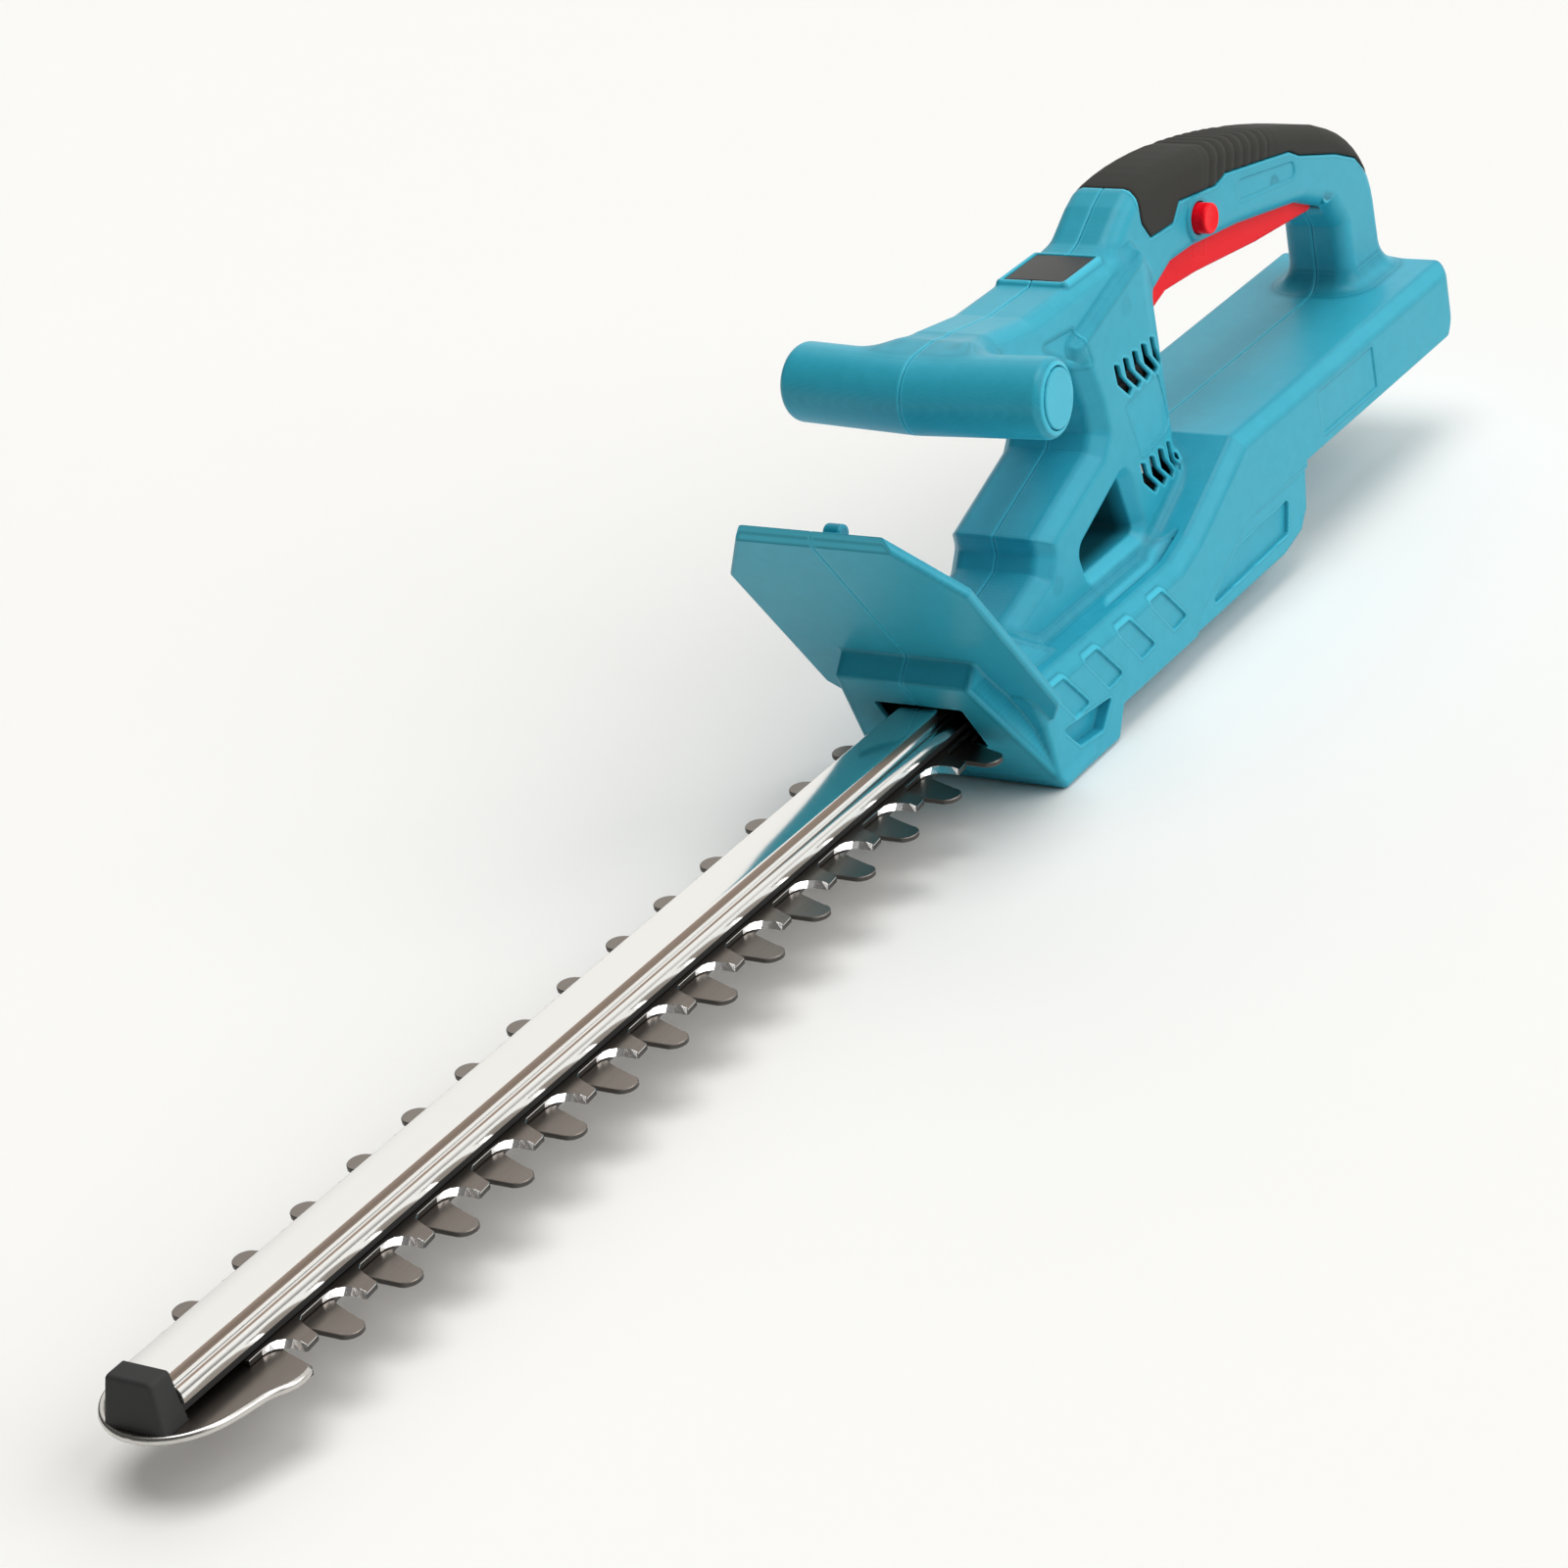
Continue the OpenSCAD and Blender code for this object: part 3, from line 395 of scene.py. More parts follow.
def chevron_shape(x0, z0):
    points = [(x0 + a, z0 + b) for a, b in CHEVRON]

    def shape(x, y, z):
        round_ = MOTOR_ROUND_X - HALF_COLUMN * np.arctan2(MOTOR_ROUND_X - x, np.maximum(y, 0.01))
        u = np.where(x < MOTOR_ROUND_X, round_, x)
        d = polygon_distance(inset(points, 0.5), *np.broadcast_arrays(u, z)) - 0.5
        side = column_side(x, y)
        return np.maximum(np.maximum(d, -5 - side), side - 1.5)
    return shape




def around(points, low_y, high_y, margin=3):
    """The box round a side outline, for cutting only there."""
    p = np.array(points)
    return (p[:, 0].min() - margin, low_y, p[:, 1].min() - margin), (p[:, 0].max() + margin, high_y,
                                                                      p[:, 1].max() + margin)


def body_field(cell):
    """The right-hand half of both shells before the seam is cut."""
    f = Field((-357, -2.1, -3), (104, 64, 204), cell)
    everywhere = (-400, -10, -10), (200, 100, 300)
    f.add(base_shape, (-360, -5, -5), (60, 60, 96))
    f.add(nose_shape, (-10, -5, -5), (80, 60, 90), 1.5)
    f.add(housing_shape, (-165, -5, 30), (60, 45, 182), 6)
    f.add(slab(BRIDGE, HALF_BRIDGE, 7), (-145, -5, 130), (30, 40, 195), 6)
    f.add(slab(HANDLE, HALF_HANDLE, 7.5), (-357, -5, 60), (-85, 45, 204),
          lambda z: np.where(z < 105, 13, 6))
    f.add(grip_shape, (-40, -5, 125), (50, 64, 198), 16)
    f.add(guard_shape, (20, -5, 28), (104, 60, 148), 2.0)
    f.add(brick((-105, -16.4, 160), (-72.6, 16.4, 173.6), 1.6), (-112, -5, 164), (-66, 22, 180), 1.5)
    f.cut(brick((-102.6, -14.1, 169.8), (-74.9, 14.1, 180), 0.8), (-110, -5, 164), (-68, 20, 180), 0.5)
    for i in range(4):
        square = [(x + SQUARE_PITCH * i, z) for x, z in SQUARE]
        f.sink(square, 1.3, *around(square, 36, 50), 0.8)
    for points, depth, y, r in PANELS:
        f.sink(points, depth, *around(points, y, 52), r)
    cover = slab(inset(COVER, -0.3), 40, 0)
    handle = slab(HANDLE, HALF_HANDLE, 7.5)
    f.cut(lambda x, y, z: np.maximum(cover(x, y, z), -2.6 - handle(x, y, z)), (-357, -5, 115),
          (-125, 30, 204), 0.3)
    f.cut(cap_shape(CAP_R + 0.4, 2, 0.2), (-10, 50, 140), (40, 64, 184), 0.4)
    # The outer skin, kept to measure depth for the painted shade inside the shells
    f.outer = f.d.copy()
    f.cut(flared_window, (-105, -5, 45), (-30, 34, 100), 1.2)
    f.d = np.maximum(f.d, -WALL - f.d)
    # What is added to or cut through the walls
    for x, z, half in SCREWS:
        f.add(rod_y(x, z, 5, -half + 1, half - 1, 0.3), (x - 7, -5, z - 7), (x + 7, half - 0.8, z + 7))
    f.add(rod_y(*PIVOT, 5, 8.3, 15, 0.3), (-306, 6, 120), (-290, 15, 136))
    for low, high in (((-331, 22, 36), (-214, 26, 45)), ((-331, 22, 36), (-214, 31, 39))):
        f.add(brick(low, high, 0.5), (-340, 15, 30), (-205, 38, 45.6))
    for x0, z0 in VENT_ROWS:
        for i in range(5):
            x = x0 - VENT_PITCH * i
            f.cut(chevron_shape(x, z0), (max(x - 14, -148), -1, z0 - 18), (x + 10, 28, z0 + 6), 0.5)
    f.cut(brick((-5, -20, 23), (80, 20, 46), 1), (-8, -5, 18), (85, 26, 52), 0.6)
    f.cut(slab(SLOT, 8.3, 0.5), (-310, -5, 96), (-132, 14, 168), 0.5)
    f.cut(lambda x, y, z: y - 0.07 + 0 * x + 0 * z, *everywhere, 0.35)
    return f


def new_object(name, mesh, materials=()):
    obj = bpy.data.objects.new(name, mesh)
    bpy.context.scene.collection.objects.link(obj)
    for material in materials:
        mesh.materials.append(material)
    return obj


def field_object(name, field, body, replaced, material, slot=None, **options):
    """A piece from a distance field that rides on a body and stands for CAD nodes."""
    obj = new_object(name, field.mesh(name, **options), [material])
    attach(obj, body)
    if replaced:
        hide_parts(*replaced)
    return obj


# ---------------------------------------------------------------- blade and bar meshes

def plate_mesh(name, lower, upper, z0, z1, bevel):
    """A flat plate between two matching outlines, with a small bevel round both faces."""
    mesh = bpy.data.meshes.new(name)
    bm = bmesh.new()
    rings = [(inset(lower, bevel), z0), (lower, z0 + bevel), (upper[0], z1 - bevel), (upper[1], z1)]
    loops = [[bm.verts.new((x * MM, y * MM, z * MM)) for x, y in ring] for ring, z in rings]
    n = len(lower)
    for low, high in zip(loops, loops[1:]):
        for i in range(n):
            bm.faces.new((low[i], low[(i + 1) % n], high[(i + 1) % n], high[i]))
    bm.faces.new(list(reversed(loops[0])))
    bm.faces.new(loops[-1])
    bmesh.ops.recalc_face_normals(bm, faces=bm.faces)
    bm.to_mesh(mesh)
    bm.free()
    return mesh


def arc(x, y, r, start, end, steps):
    return [(x + r * math.cos(math.radians(start + (end - start) * i / steps)),
             y + r * math.sin(math.radians(start + (end - start) * i / steps))) for i in range(steps + 1)]


def comb_tooth_outline():
    tongue = arc(1.8, 30.7, 5.3, 178, 2, 14)
    return [(-12.5, 15), (-9.9, 15.7), (-8.4, 17.8), (-6, 24)] + tongue + [(7.1, 18), (8.1, 15.8), (10.6, 15)]


def cutter_tooth_outline():
    """Points of one cutter tooth, each with how far its top edge is ground back."""
    return [((4.2, 13.5), 0), ((6.6, 14.8), 0), ((8.2, 18), 0), ((11.5, 26), 0), ((12.6, 26.6), 0),
            ((18.8, 27.2), 0),
            ((19.3, 26.6), 1.6), ((19.15, 23.4), 2.4), ((19.3, 20.4), 2.6), ((19.9, 17.8), 2.6),
            ((21.2, 15.5), 2.4),
            ((23.2, 14.1), 1.8), ((25.6, 13.5), 0.6)]


def tip_half_outline():
    return [(488, 15), (490, 18), (494.5, 33), (496.5, 35), (501, 35), (506.5, 34), (510, 31.6), (514, 29.4),
            (521, 28), (528, 26.2)] + arc(521, 0, 27, 72, 0, 14)


def plain_tip_outline():
    """The left half of the tip, which has no ear."""
    return [(488, 15), (504, 19), (515, 24.5), (521, 26)] + arc(521, 0, 27, 72, 0, 14)


def blade_outlines(tail, spine, tooth, count, pitch, tips):
    """Closed outlines of a blade's lower face and of its ground upper face."""
    sides = []
    for ahead, tip in zip((0.0, STAGGER), tips):
        side = [(tail, spine, 0.0)]
        for k in range(count):
            x0 = FIRST_TOOTH + k * pitch + ahead
            side += [(x0 + x, y, g) for (x, y), g in tooth]
        end = side[-1][0] + 0.5
        sides.append(side + [(x, y, 0.0) for x, y in tip if x > end or y < spine])
    right, left = sides
    loop = right + [(x, -y, g) for x, y, g in reversed(left) if abs(y) > 1e-6]
    lower = [(x, y) for x, y, _ in loop]
    upper = [(x - g, y - math.copysign(0.25 * g, y)) for x, y, g in loop]
    return lower, upper


def boolean_cut(obj, cutters):
    """Cuts slots and holes through a plate, then drops the cutters."""
    for cutter in cutters:
        mod = obj.modifiers.new("cut", "BOOLEAN")
        mod.object, mod.operation, mod.solver = cutter, "DIFFERENCE", "EXACT"
    bpy.context.view_layer.update()
    done = bpy.data.meshes.new_from_object(obj.evaluated_get(bpy.context.evaluated_depsgraph_get()))
    obj.modifiers.clear()
    old, obj.data = obj.data, done
    bpy.data.meshes.remove(old)
    for cutter in cutters:
        bpy.data.objects.remove(cutter)


def prism_object(outline, z0, z1):
    mesh = plate_mesh("cutter", outline, (outline, inset(outline, 0.01)), z0, z1, 0.01)
    return new_object("cutter", mesh)


def swept_rim(path, z, across, up):
    """Vertices and faces of a bead of oval section that follows a path in plan."""
    p = np.array(path, float)
    tangent = np.gradient(p, axis=0)
    tangent /= np.linalg.norm(tangent, axis=1, keepdims=True)
    side = np.stack((tangent[:, 1], -tangent[:, 0]), 1)
    steps = 10
    verts, faces = [], []
    for i in range(len(p)):
        for j in range(steps):
            a = 2 * math.pi * j / steps
            q = p[i] + side[i] * across * math.cos(a)
            verts.append((q[0] * MM, q[1] * MM, (z + up * math.sin(a)) * MM))
    for i in range(len(p) - 1):
        for j in range(steps):
            a, b = i * steps + j, i * steps + (j + 1) % steps
            faces.append((a, b, b + steps, a + steps))
    faces += [tuple(range(steps))[::-1], tuple(range((len(p) - 1) * steps, len(p) * steps))]
    return verts, faces


def smooth_path(points, steps):
    """A rounder path through points, by repeated corner cutting."""
    p = np.array(points, float)
    for _ in range(steps):
        q = [p[0]]
        for a, b in zip(p, p[1:]):
            q += [0.75 * a + 0.25 * b, 0.25 * a + 0.75 * b]
        p = np.array(q + [p[-1]])
    return p


def finish_edges(obj, width=0.0002, angle=30, segments=2):
    bevel = obj.modifiers.new("edges", "BEVEL")
    bevel.width, bevel.segments = width, segments
    bevel.limit_method, bevel.angle_limit = "ANGLE", math.radians(angle)
    bevel.harden_normals = False
    obj.modifiers.new("shading", "WEIGHTED_NORMAL").keep_sharp = True


# ---------------------------------------------------------------- shader groups

def group_tree(name, inputs, outputs):
    tree = bpy.data.node_groups.new(name, "ShaderNodeTree")
    for label, kind, value in inputs:
        s = tree.interface.new_socket(label, in_out="INPUT", socket_type=kind)
        if value is not None:
            s.default_value = value
    for label, kind in outputs:
        tree.interface.new_socket(label, in_out="OUTPUT", socket_type=kind)
    return tree, tree.nodes.new("NodeGroupInput"), tree.nodes.new("NodeGroupOutput")


def put(tree, kind, settings=None, **sockets):
    """A node with its settings, and its input sockets set to values or linked to other sockets."""
    node = tree.nodes.new(kind)
    for key, value in (settings or {}).items():
        setattr(node, key, value)
    for key, value in sockets.items():
        socket = node.inputs[int(key[1:])] if key[0] == "i" and key[1:].isdigit() else node.inputs[
            key.replace("_", " ")]
        if isinstance(value, bpy.types.NodeSocket):
            tree.links.new(value, socket)
        else:
            socket.default_value = value
    return node


def maths(tree, op, a, b=0.0, clamp=False):
    return put(tree, "ShaderNodeMath", {"operation": op, "use_clamp": clamp}, i0=a, i1=b).outputs[0]


def blend(tree, factor, a, b, mode="MIX"):
    node = tree.nodes.new("ShaderNodeMix")
    node.data_type, node.blend_type = "RGBA", mode
    for index, value in ((0, factor), (6, a), (7, b)):
        if isinstance(value, bpy.types.NodeSocket):
            tree.links.new(value, node.inputs[index])
        else:
            node.inputs[index].default_value = value
    return node.outputs[2]


def ramp(tree, factor, low, high, clamp=True):
    node = put(tree, "ShaderNodeMapRange", {"clamp": clamp}, Value=factor, From_Min=low, From_Max=high)
    return node.outputs[0]


def make_grain_group():
    """Fine spark-eroded or sanded grain of a surface."""
    tree, gi, go = group_tree("Fine grain",
                              [("Scale", "NodeSocketFloat", 900.0), ("Stretch", "NodeSocketFloat", 1.0)],
                              [("Height", "NodeSocketFloat"), ("Patches", "NodeSocketFloat")])
    coord = tree.nodes.new("ShaderNodeTexCoord").outputs["Object"]
    squeeze = put(tree, "ShaderNodeCombineXYZ", None, X=gi.outputs["Stretch"], Y=1.0, Z=1.0).outputs[0]
    scaled = put(tree, "ShaderNodeVectorMath", {"operation": "MULTIPLY"}, i0=coord, i1=squeeze).outputs[0]
    fine = put(tree, "ShaderNodeTexNoise", None, Vector=scaled, Scale=gi.outputs["Scale"], Detail=2.0,
               Roughness=0.55)
    broad = put(tree, "ShaderNodeTexNoise", None, Vector=coord, Scale=14.0, Detail=3.0, Roughness=0.5)
    tree.links.new(fine.outputs[0], go.inputs["Height"])
    tree.links.new(ramp(tree, broad.outputs[0], 0.3, 0.7), go.inputs["Patches"])
    return tree


def make_painted_light_group():
    """Masks for the painted highlight on convex edges and for the painted shade in hollows, from the marks
    stored in the mesh.
    """
    tree, gi, go = group_tree("Painted edge highlight and hollow shade",
                              [("Edge Start", "NodeSocketFloat", 0.12), ("Edge End", "NodeSocketFloat", 0.6),
                                           ("Break Up", "NodeSocketFloat", 0.10)],
                              [("Edge", "NodeSocketFloat"), ("Hollow", "NodeSocketFloat")])
    coord = tree.nodes.new("ShaderNodeTexCoord").outputs["Object"]
    edge = put(tree, "ShaderNodeAttribute", {"attribute_name": "edge"}).outputs["Fac"]
    hollow = put(tree, "ShaderNodeAttribute", {"attribute_name": "hollow"}).outputs["Fac"]
    noise = put(tree, "ShaderNodeTexNoise", None, Vector=coord, Scale=160.0, Detail=3.0).outputs[0]
    # Noise that breaks up the painted edge highlight
    highlight_breakup = maths(tree, "MULTIPLY", maths(tree, "SUBTRACT", noise, 0.5), gi.outputs["Break Up"])
    edge_map = put(tree, "ShaderNodeMapRange", None, Value=maths(tree, "ADD", edge, highlight_breakup),
                   From_Min=gi.outputs["Edge Start"], From_Max=gi.outputs["Edge End"])
    tree.links.new(edge_map.outputs[0], go.inputs["Edge"])
    # Painted shade mask for hollows
    tree.links.new(ramp(tree, hollow, 0.15, 0.9), go.inputs["Hollow"])
    return tree


def make_tone_group():
    """A base colour with a painted highlight at edges, painted shade in hollows and slightly uneven between.
    """
    tree, gi, go = group_tree(
        "Moulded colour with painted light",
        [("Base", "NodeSocketColor", None), ("Edge Colour", "NodeSocketColor", None),
         ("Hollow Colour", "NodeSocketColor", None), ("Edge", "NodeSocketFloat", 0.0),
         ("Hollow", "NodeSocketFloat", 0.0), ("Patches", "NodeSocketFloat", 0.5)],
        [("Colour", "NodeSocketColor")])
    shade = maths(tree, "ADD", maths(tree, "MULTIPLY", gi.outputs["Patches"], 0.06), 0.97)
    grey = put(tree, "ShaderNodeCombineColor", None, i0=shade, i1=shade, i2=shade).outputs[0]
    base = blend(tree, 1.0, gi.outputs["Base"], grey, "MULTIPLY")
    # Painted shade: towards the hollow colour in concave corners
    hollow_shaded = blend(tree, gi.outputs["Hollow"], base, gi.outputs["Hollow Colour"])
    # Painted highlight: towards the edge colour on convex edges
    tree.links.new(blend(tree, gi.outputs["Edge"], hollow_shaded, gi.outputs["Edge Colour"]), go.inputs["Colour"])
    return tree


def make_scratch_group():
    """Long hair lines left by grinding or polishing, running along X."""
    tree, gi, go = group_tree("Grinding lines",
                              [("Along", "NodeSocketFloat", 6.0), ("Across", "NodeSocketFloat", 900.0)],
                              [("Lines", "NodeSocketFloat")])
    coord = tree.nodes.new("ShaderNodeTexCoord").outputs["Object"]
    scale = put(tree, "ShaderNodeCombineXYZ", None, X=gi.outputs["Along"], Y=gi.outputs["Across"],
                Z=gi.outputs["Across"]).outputs[0]
    scaled = put(tree, "ShaderNodeVectorMath", {"operation": "MULTIPLY"}, i0=coord, i1=scale).outputs[0]
    noise = put(tree, "ShaderNodeTexNoise", None, Vector=scaled, Scale=1.0, Detail=4.0, Roughness=0.6)
    tree.links.new(noise.outputs[0], go.inputs["Lines"])
    return tree


def group(name):
    makers = {"Fine grain": make_grain_group, "Painted edge highlight and hollow shade": make_painted_light_group, "Moulded colour with painted light": make_tone_group,
              "Grinding lines": make_scratch_group}
    return bpy.data.node_groups.get(name) or makers[name]()


def place(tree, name, **sockets):
    node = tree.nodes.new("ShaderNodeGroup")
    node.node_tree = group(name)
    for key, value in sockets.items():
        socket = node.inputs[key.replace("_", " ")]
        if isinstance(value, bpy.types.NodeSocket):
            tree.links.new(value, socket)
        else:
            socket.default_value = value
    return node.outputs


def rgba(colour, factor=1.0):
    return (*(min(1.0, c * factor) for c in colour[:3]), 1.0)


def blank_material(name):
    material = bpy.data.materials.new(name)
    material.use_nodes = True
    tree = material.node_tree
    return material, tree, tree.nodes["Principled BSDF"]


def moulded(name, colour, edge_highlight_colour=None, rough=0.42, spread=0.1, grain=900.0, bump=0.12, sheen_ior=1.5,
            coat=0.0, gloss=0.28, edge_start=0.12, edge_end=0.6):
    """Injection-moulded plastic or rubber with grain, a painted highlight on edges, painted shade in hollows
    and painted shade inside the shells.
    """
    if name in bpy.data.materials:
        return bpy.data.materials[name]
    material, tree, shader = blank_material(name)
    grained = place(tree, "Fine grain", Scale=grain)
    painted_light = place(tree, "Painted edge highlight and hollow shade", Edge_Start=edge_start, Edge_End=edge_end)
    # The edge colour is a painted highlight on convex edges; the hollow colour, at 0.55 of the base, is
    # painted shade in hollows.
    tone = place(tree, "Moulded colour with painted light", Base=rgba(colour), Edge_Colour=rgba(edge_highlight_colour or colour, 1.0),
                 Hollow_Colour=rgba(colour, 0.55), Edge=painted_light["Edge"], Hollow=painted_light["Hollow"],
                 Patches=grained["Patches"])
    # Painted shade: darkens towards black by the mark of depth inside the shells
    inner = put(tree, "ShaderNodeAttribute", {"attribute_name": "inner"}).outputs["Fac"]
    tree.links.new(blend(tree, maths(tree, "MULTIPLY", inner, 0.95), tone["Colour"], (0.0, 0.0, 0.0, 1.0)),
                   shader.inputs["Base Color"])
    low = maths(tree, "MULTIPLY", grained["Patches"], spread)
    tree.links.new(maths(tree, "ADD", low, rough - spread / 2), shader.inputs["Roughness"])
    bumped = put(tree, "ShaderNodeBump", None, Strength=bump, Distance=0.0002, Height=grained["Height"])
    tree.links.new(bumped.outputs[0], shader.inputs["Normal"])
    shader.inputs["IOR"].default_value = sheen_ior
    shader.inputs["Specular IOR Level"].default_value = gloss
    shader.inputs["Coat Weight"].default_value = coat
    return material


def metal(name, colour, rough=0.3, spread=0.15, along=6.0, across=900.0, bump=0.05, dark=None, metallic=1.0):
    """Ground, rolled or plated metal with fine lines along the tool and a darker cast between them."""
    if name in bpy.data.materials:
        return bpy.data.materials[name]
    material, tree, shader = blank_material(name)
    lines = place(tree, "Grinding lines", Along=along, Across=across)["Lines"]
    patches = place(tree, "Fine grain", Scale=60.0)["Patches"]
    cast = blend(tree, maths(tree, "MULTIPLY", lines, 0.5), rgba(colour), rgba(dark or colour, 0.7))
    tree.links.new(cast, shader.inputs["Base Color"])
    mixed = maths(tree, "ADD", maths(tree, "MULTIPLY", lines, 0.6), maths(tree, "MULTIPLY", patches, 0.4))
    tree.links.new(maths(tree, "ADD", maths(tree, "MULTIPLY", mixed, spread), rough - spread / 2),
                   shader.inputs["Roughness"])
    shader.inputs["Metallic"].default_value = metallic
    bumped = put(tree, "ShaderNodeBump", None, Strength=bump, Distance=0.0001, Height=lines)
    tree.links.new(bumped.outputs[0], shader.inputs["Normal"])
    return material


# ---------------------------------------------------------------- sizes and colours that a user may change

class TrimmerSizes(bpy.types.PropertyGroup):
    """Sizes of the visual model."""
    shell_cell: bpy.props.FloatProperty(
        name="Shell detail",
        description="Spacing of the samples that the shells are shaped from, in millimetres",
        default=0.55, min=0.4, max=2.0)
    small_cell: bpy.props.FloatProperty(
        name="Small part detail",
        description="Spacing of the samples for grips, trigger and cap, in millimetres",
        default=0.45, min=0.3, max=2.0)
    tooth_pitch: bpy.props.FloatProperty(
        name="Tooth pitch", description="Distance from one tooth to the next", default=0.032, unit="LENGTH")
    tooth_count: bpy.props.IntProperty(
        name="Teeth a side", description="Number of teeth along each side of the blades", default=14, min=2)
    rim_width: bpy.props.FloatProperty(
        name="Tip rim width", description="Width of the raised bead round the blade tip", default=0.0024,
                                       unit="LENGTH")
    rib_count: bpy.props.IntProperty(
        name="Grip ribs", description="Number of ribs across the top of the rear grip", default=9, min=0)
    rib_depth: bpy.props.FloatProperty(
        name="Rib depth", description="Height of the ribs on the rear grip", default=0.0008, unit="LENGTH")


def colour_property(label, text, value):
    return bpy.props.FloatVectorProperty(name=label, description=text, subtype="COLOR", size=3, min=0, max=1,
                                         default=value)


class TrimmerColours(bpy.types.PropertyGroup):
    """Colours of the finishes, as linear values."""
    body: colour_property("Body", "Colour of the moulded shells", (0.003, 0.225, 0.325))
    # Painted highlight: the colour that convex edges of the shells are lightened to
    body_edge_highlight: colour_property("Body edge", "Colour of the rubbed edges of the shells", (0.05, 0.50, 0.66))
    rubber: colour_property("Rubber", "Colour of the soft grip cover", (0.007, 0.0065, 0.006))
    red: colour_property("Red", "Colour of the trigger and the lock button", (0.93, 0.0025, 0.012))
    bar: colour_property("Bar", "Colour of the plated guide bar", (0.90, 0.89, 0.87))
    blade: colour_property("Blade", "Colour of the rolled blade faces", (0.27, 0.24, 0.215))
    ground: colour_property("Ground edge", "Colour of the freshly ground cutting edges", (0.92, 0.91, 0.90))
    floor: colour_property("Floor", "Colour of the stage floor", (0.93, 0.925, 0.905))


def sizes():
    return bpy.context.scene.trimmer_sizes


def colours():
    return bpy.context.scene.trimmer_colours


# The second colour that each material below gives to moulded() is a painted highlight for convex edges.
def body_plastic():
    return moulded("teal_plastic", colours().body, colours().body_edge_highlight, rough=0.38, spread=0.1, grain=1100,
                   bump=0.10,
                   edge_start=0.14, edge_end=0.55)


def dark_plastic():
    return moulded("black_plastic", (0.006, 0.006, 0.006), (0.02, 0.02, 0.02), rough=0.26, grain=1200,
                   bump=0.05)


def red_plastic():
    return moulded("red_plastic", colours().red, (1.0, 0.02, 0.03), rough=0.3, grain=1200, bump=0.05,
                   gloss=0.1)


# ---------------------------------------------- operators, one for each piece or group of pieces

class PieceOperator:
    bl_options = {"REGISTER", "UNDO"}

    def execute(self, context):
        self.build()
        return {"FINISHED"}


class TRIMMER_OT_shells(PieceOperator, bpy.types.Operator):
    """Builds the two moulded halves of the body with their guard and front grip"""
    bl_idname = "trimmer.shells"
    bl_label = "Moulded shells"

    def build(self):
        common = body_field(sizes().shell_cell)
        left, right = common.copy(), common
        for x, z, _ in SCREWS:
            box = (x - 6, -5, z - 6), (x + 6, 60, z + 6)
            left.cut(rod_y(x, z, SCREW_HEAD_R, 10, 70, 0.2), *box, 0.4)
            left.cut(rod_y(x, z, SCREW_SHANK_R, -5, 11, 0.1), *box)
            right.cut(rod_y(x, z, SCREW_PILOT_R, -5, 12, 0.1), *box)
        right.add(rod_y(98.5, 140.8, 3.6, 4, 12, 0.9), (88, 1, 130), (104, 20, 150), 0.6)
        x, z = BUTTON
        right.add(rod_y(x, z, 9.6, 12, 17.6, 1.0), (x - 15, 12.5, z - 15), (x + 15, 24, z + 15), 1.0)
        right.cut(rod_y(x, z, BUTTON_R + 0.35, 2, 40, 0.2), (x - 12, -1, z - 12), (x + 12, 30, z + 12), 0.5)
        field_object("body_shell_right", right, "housing", ["right_shell"], body_plastic(), "teal_shell")
        field_object("body_shell_left", left, "housing", ["left_shell"], body_plastic(), "teal_shell",
                     mirror=True)


class TRIMMER_OT_grip_ends(PieceOperator, bpy.types.Operator):
    """Builds the two round caps let into the ends of the front grip"""
    bl_idname = "trimmer.grip_ends"
    bl_label = "Front grip ends"

    def build(self):
        for side, mirror in (("right", False), ("left", True)):
            f = Field((-6, 50, 146), (30, 64, 178), sizes().small_cell)
            f.add(cap_shape(CAP_R, 2, 0.7), (-20, 40, 130), (50, 70, 190))
            field_object(f"front_grip_end_{side}", f, "housing", [f"front_grip_cap_{side}"], body_plastic(),
                         "teal_shell", mirror=mirror)


class TRIMMER_OT_grip_cover(PieceOperator, bpy.types.Operator):
    """Builds the ribbed soft cover over the top of the rear handle"""
    bl_idname = "trimmer.grip_cover"
    bl_label = "Rear grip cover"

    def build(self):
        f = Field((-346, -18, 116), (-129, 18, 197), sizes().small_cell)
        handle = slab(HANDLE, HALF_HANDLE + 0.25, 7.7)
        cover = slab(inset(COVER, 0.1), 40, 0)
        first, last = -262.0, -192.0
        count, depth = sizes().rib_count, sizes().rib_depth / MM

        def shape(x, y, z):
            d = handle(x, y, z)
            phase = (x + 0.35 * (z - 180) - first) / (last - first)
            rib = np.abs(np.sin(np.pi * count * phase)) * np.clip(8 * phase, 0, 1) * np.clip(8 * (1 - phase),
                                                                                             0, 1)
            skin = d + depth * np.where((phase > 0) & (phase < 1), 1 - rib, 0) * np.clip(8 * phase, 0,
                                                                                         1) * np.clip(
                8 * (1 - phase), 0, 1)
            return smooth_max(smooth_max(skin, -2.3 - d, 0.4), cover(x, y, z), 1.2)
        f.add(shape, (-400, -30, 100), (-100, 30, 220))
        soft = moulded("grip_rubber", colours().rubber, (0.022, 0.021, 0.02), rough=0.44, spread=0.1,
                       grain=1500,
                       bump=0.15, gloss=0.45)
        field_object("rear_grip_cover", f, "housing", ["grip_cover"], soft, "grip_rubber")


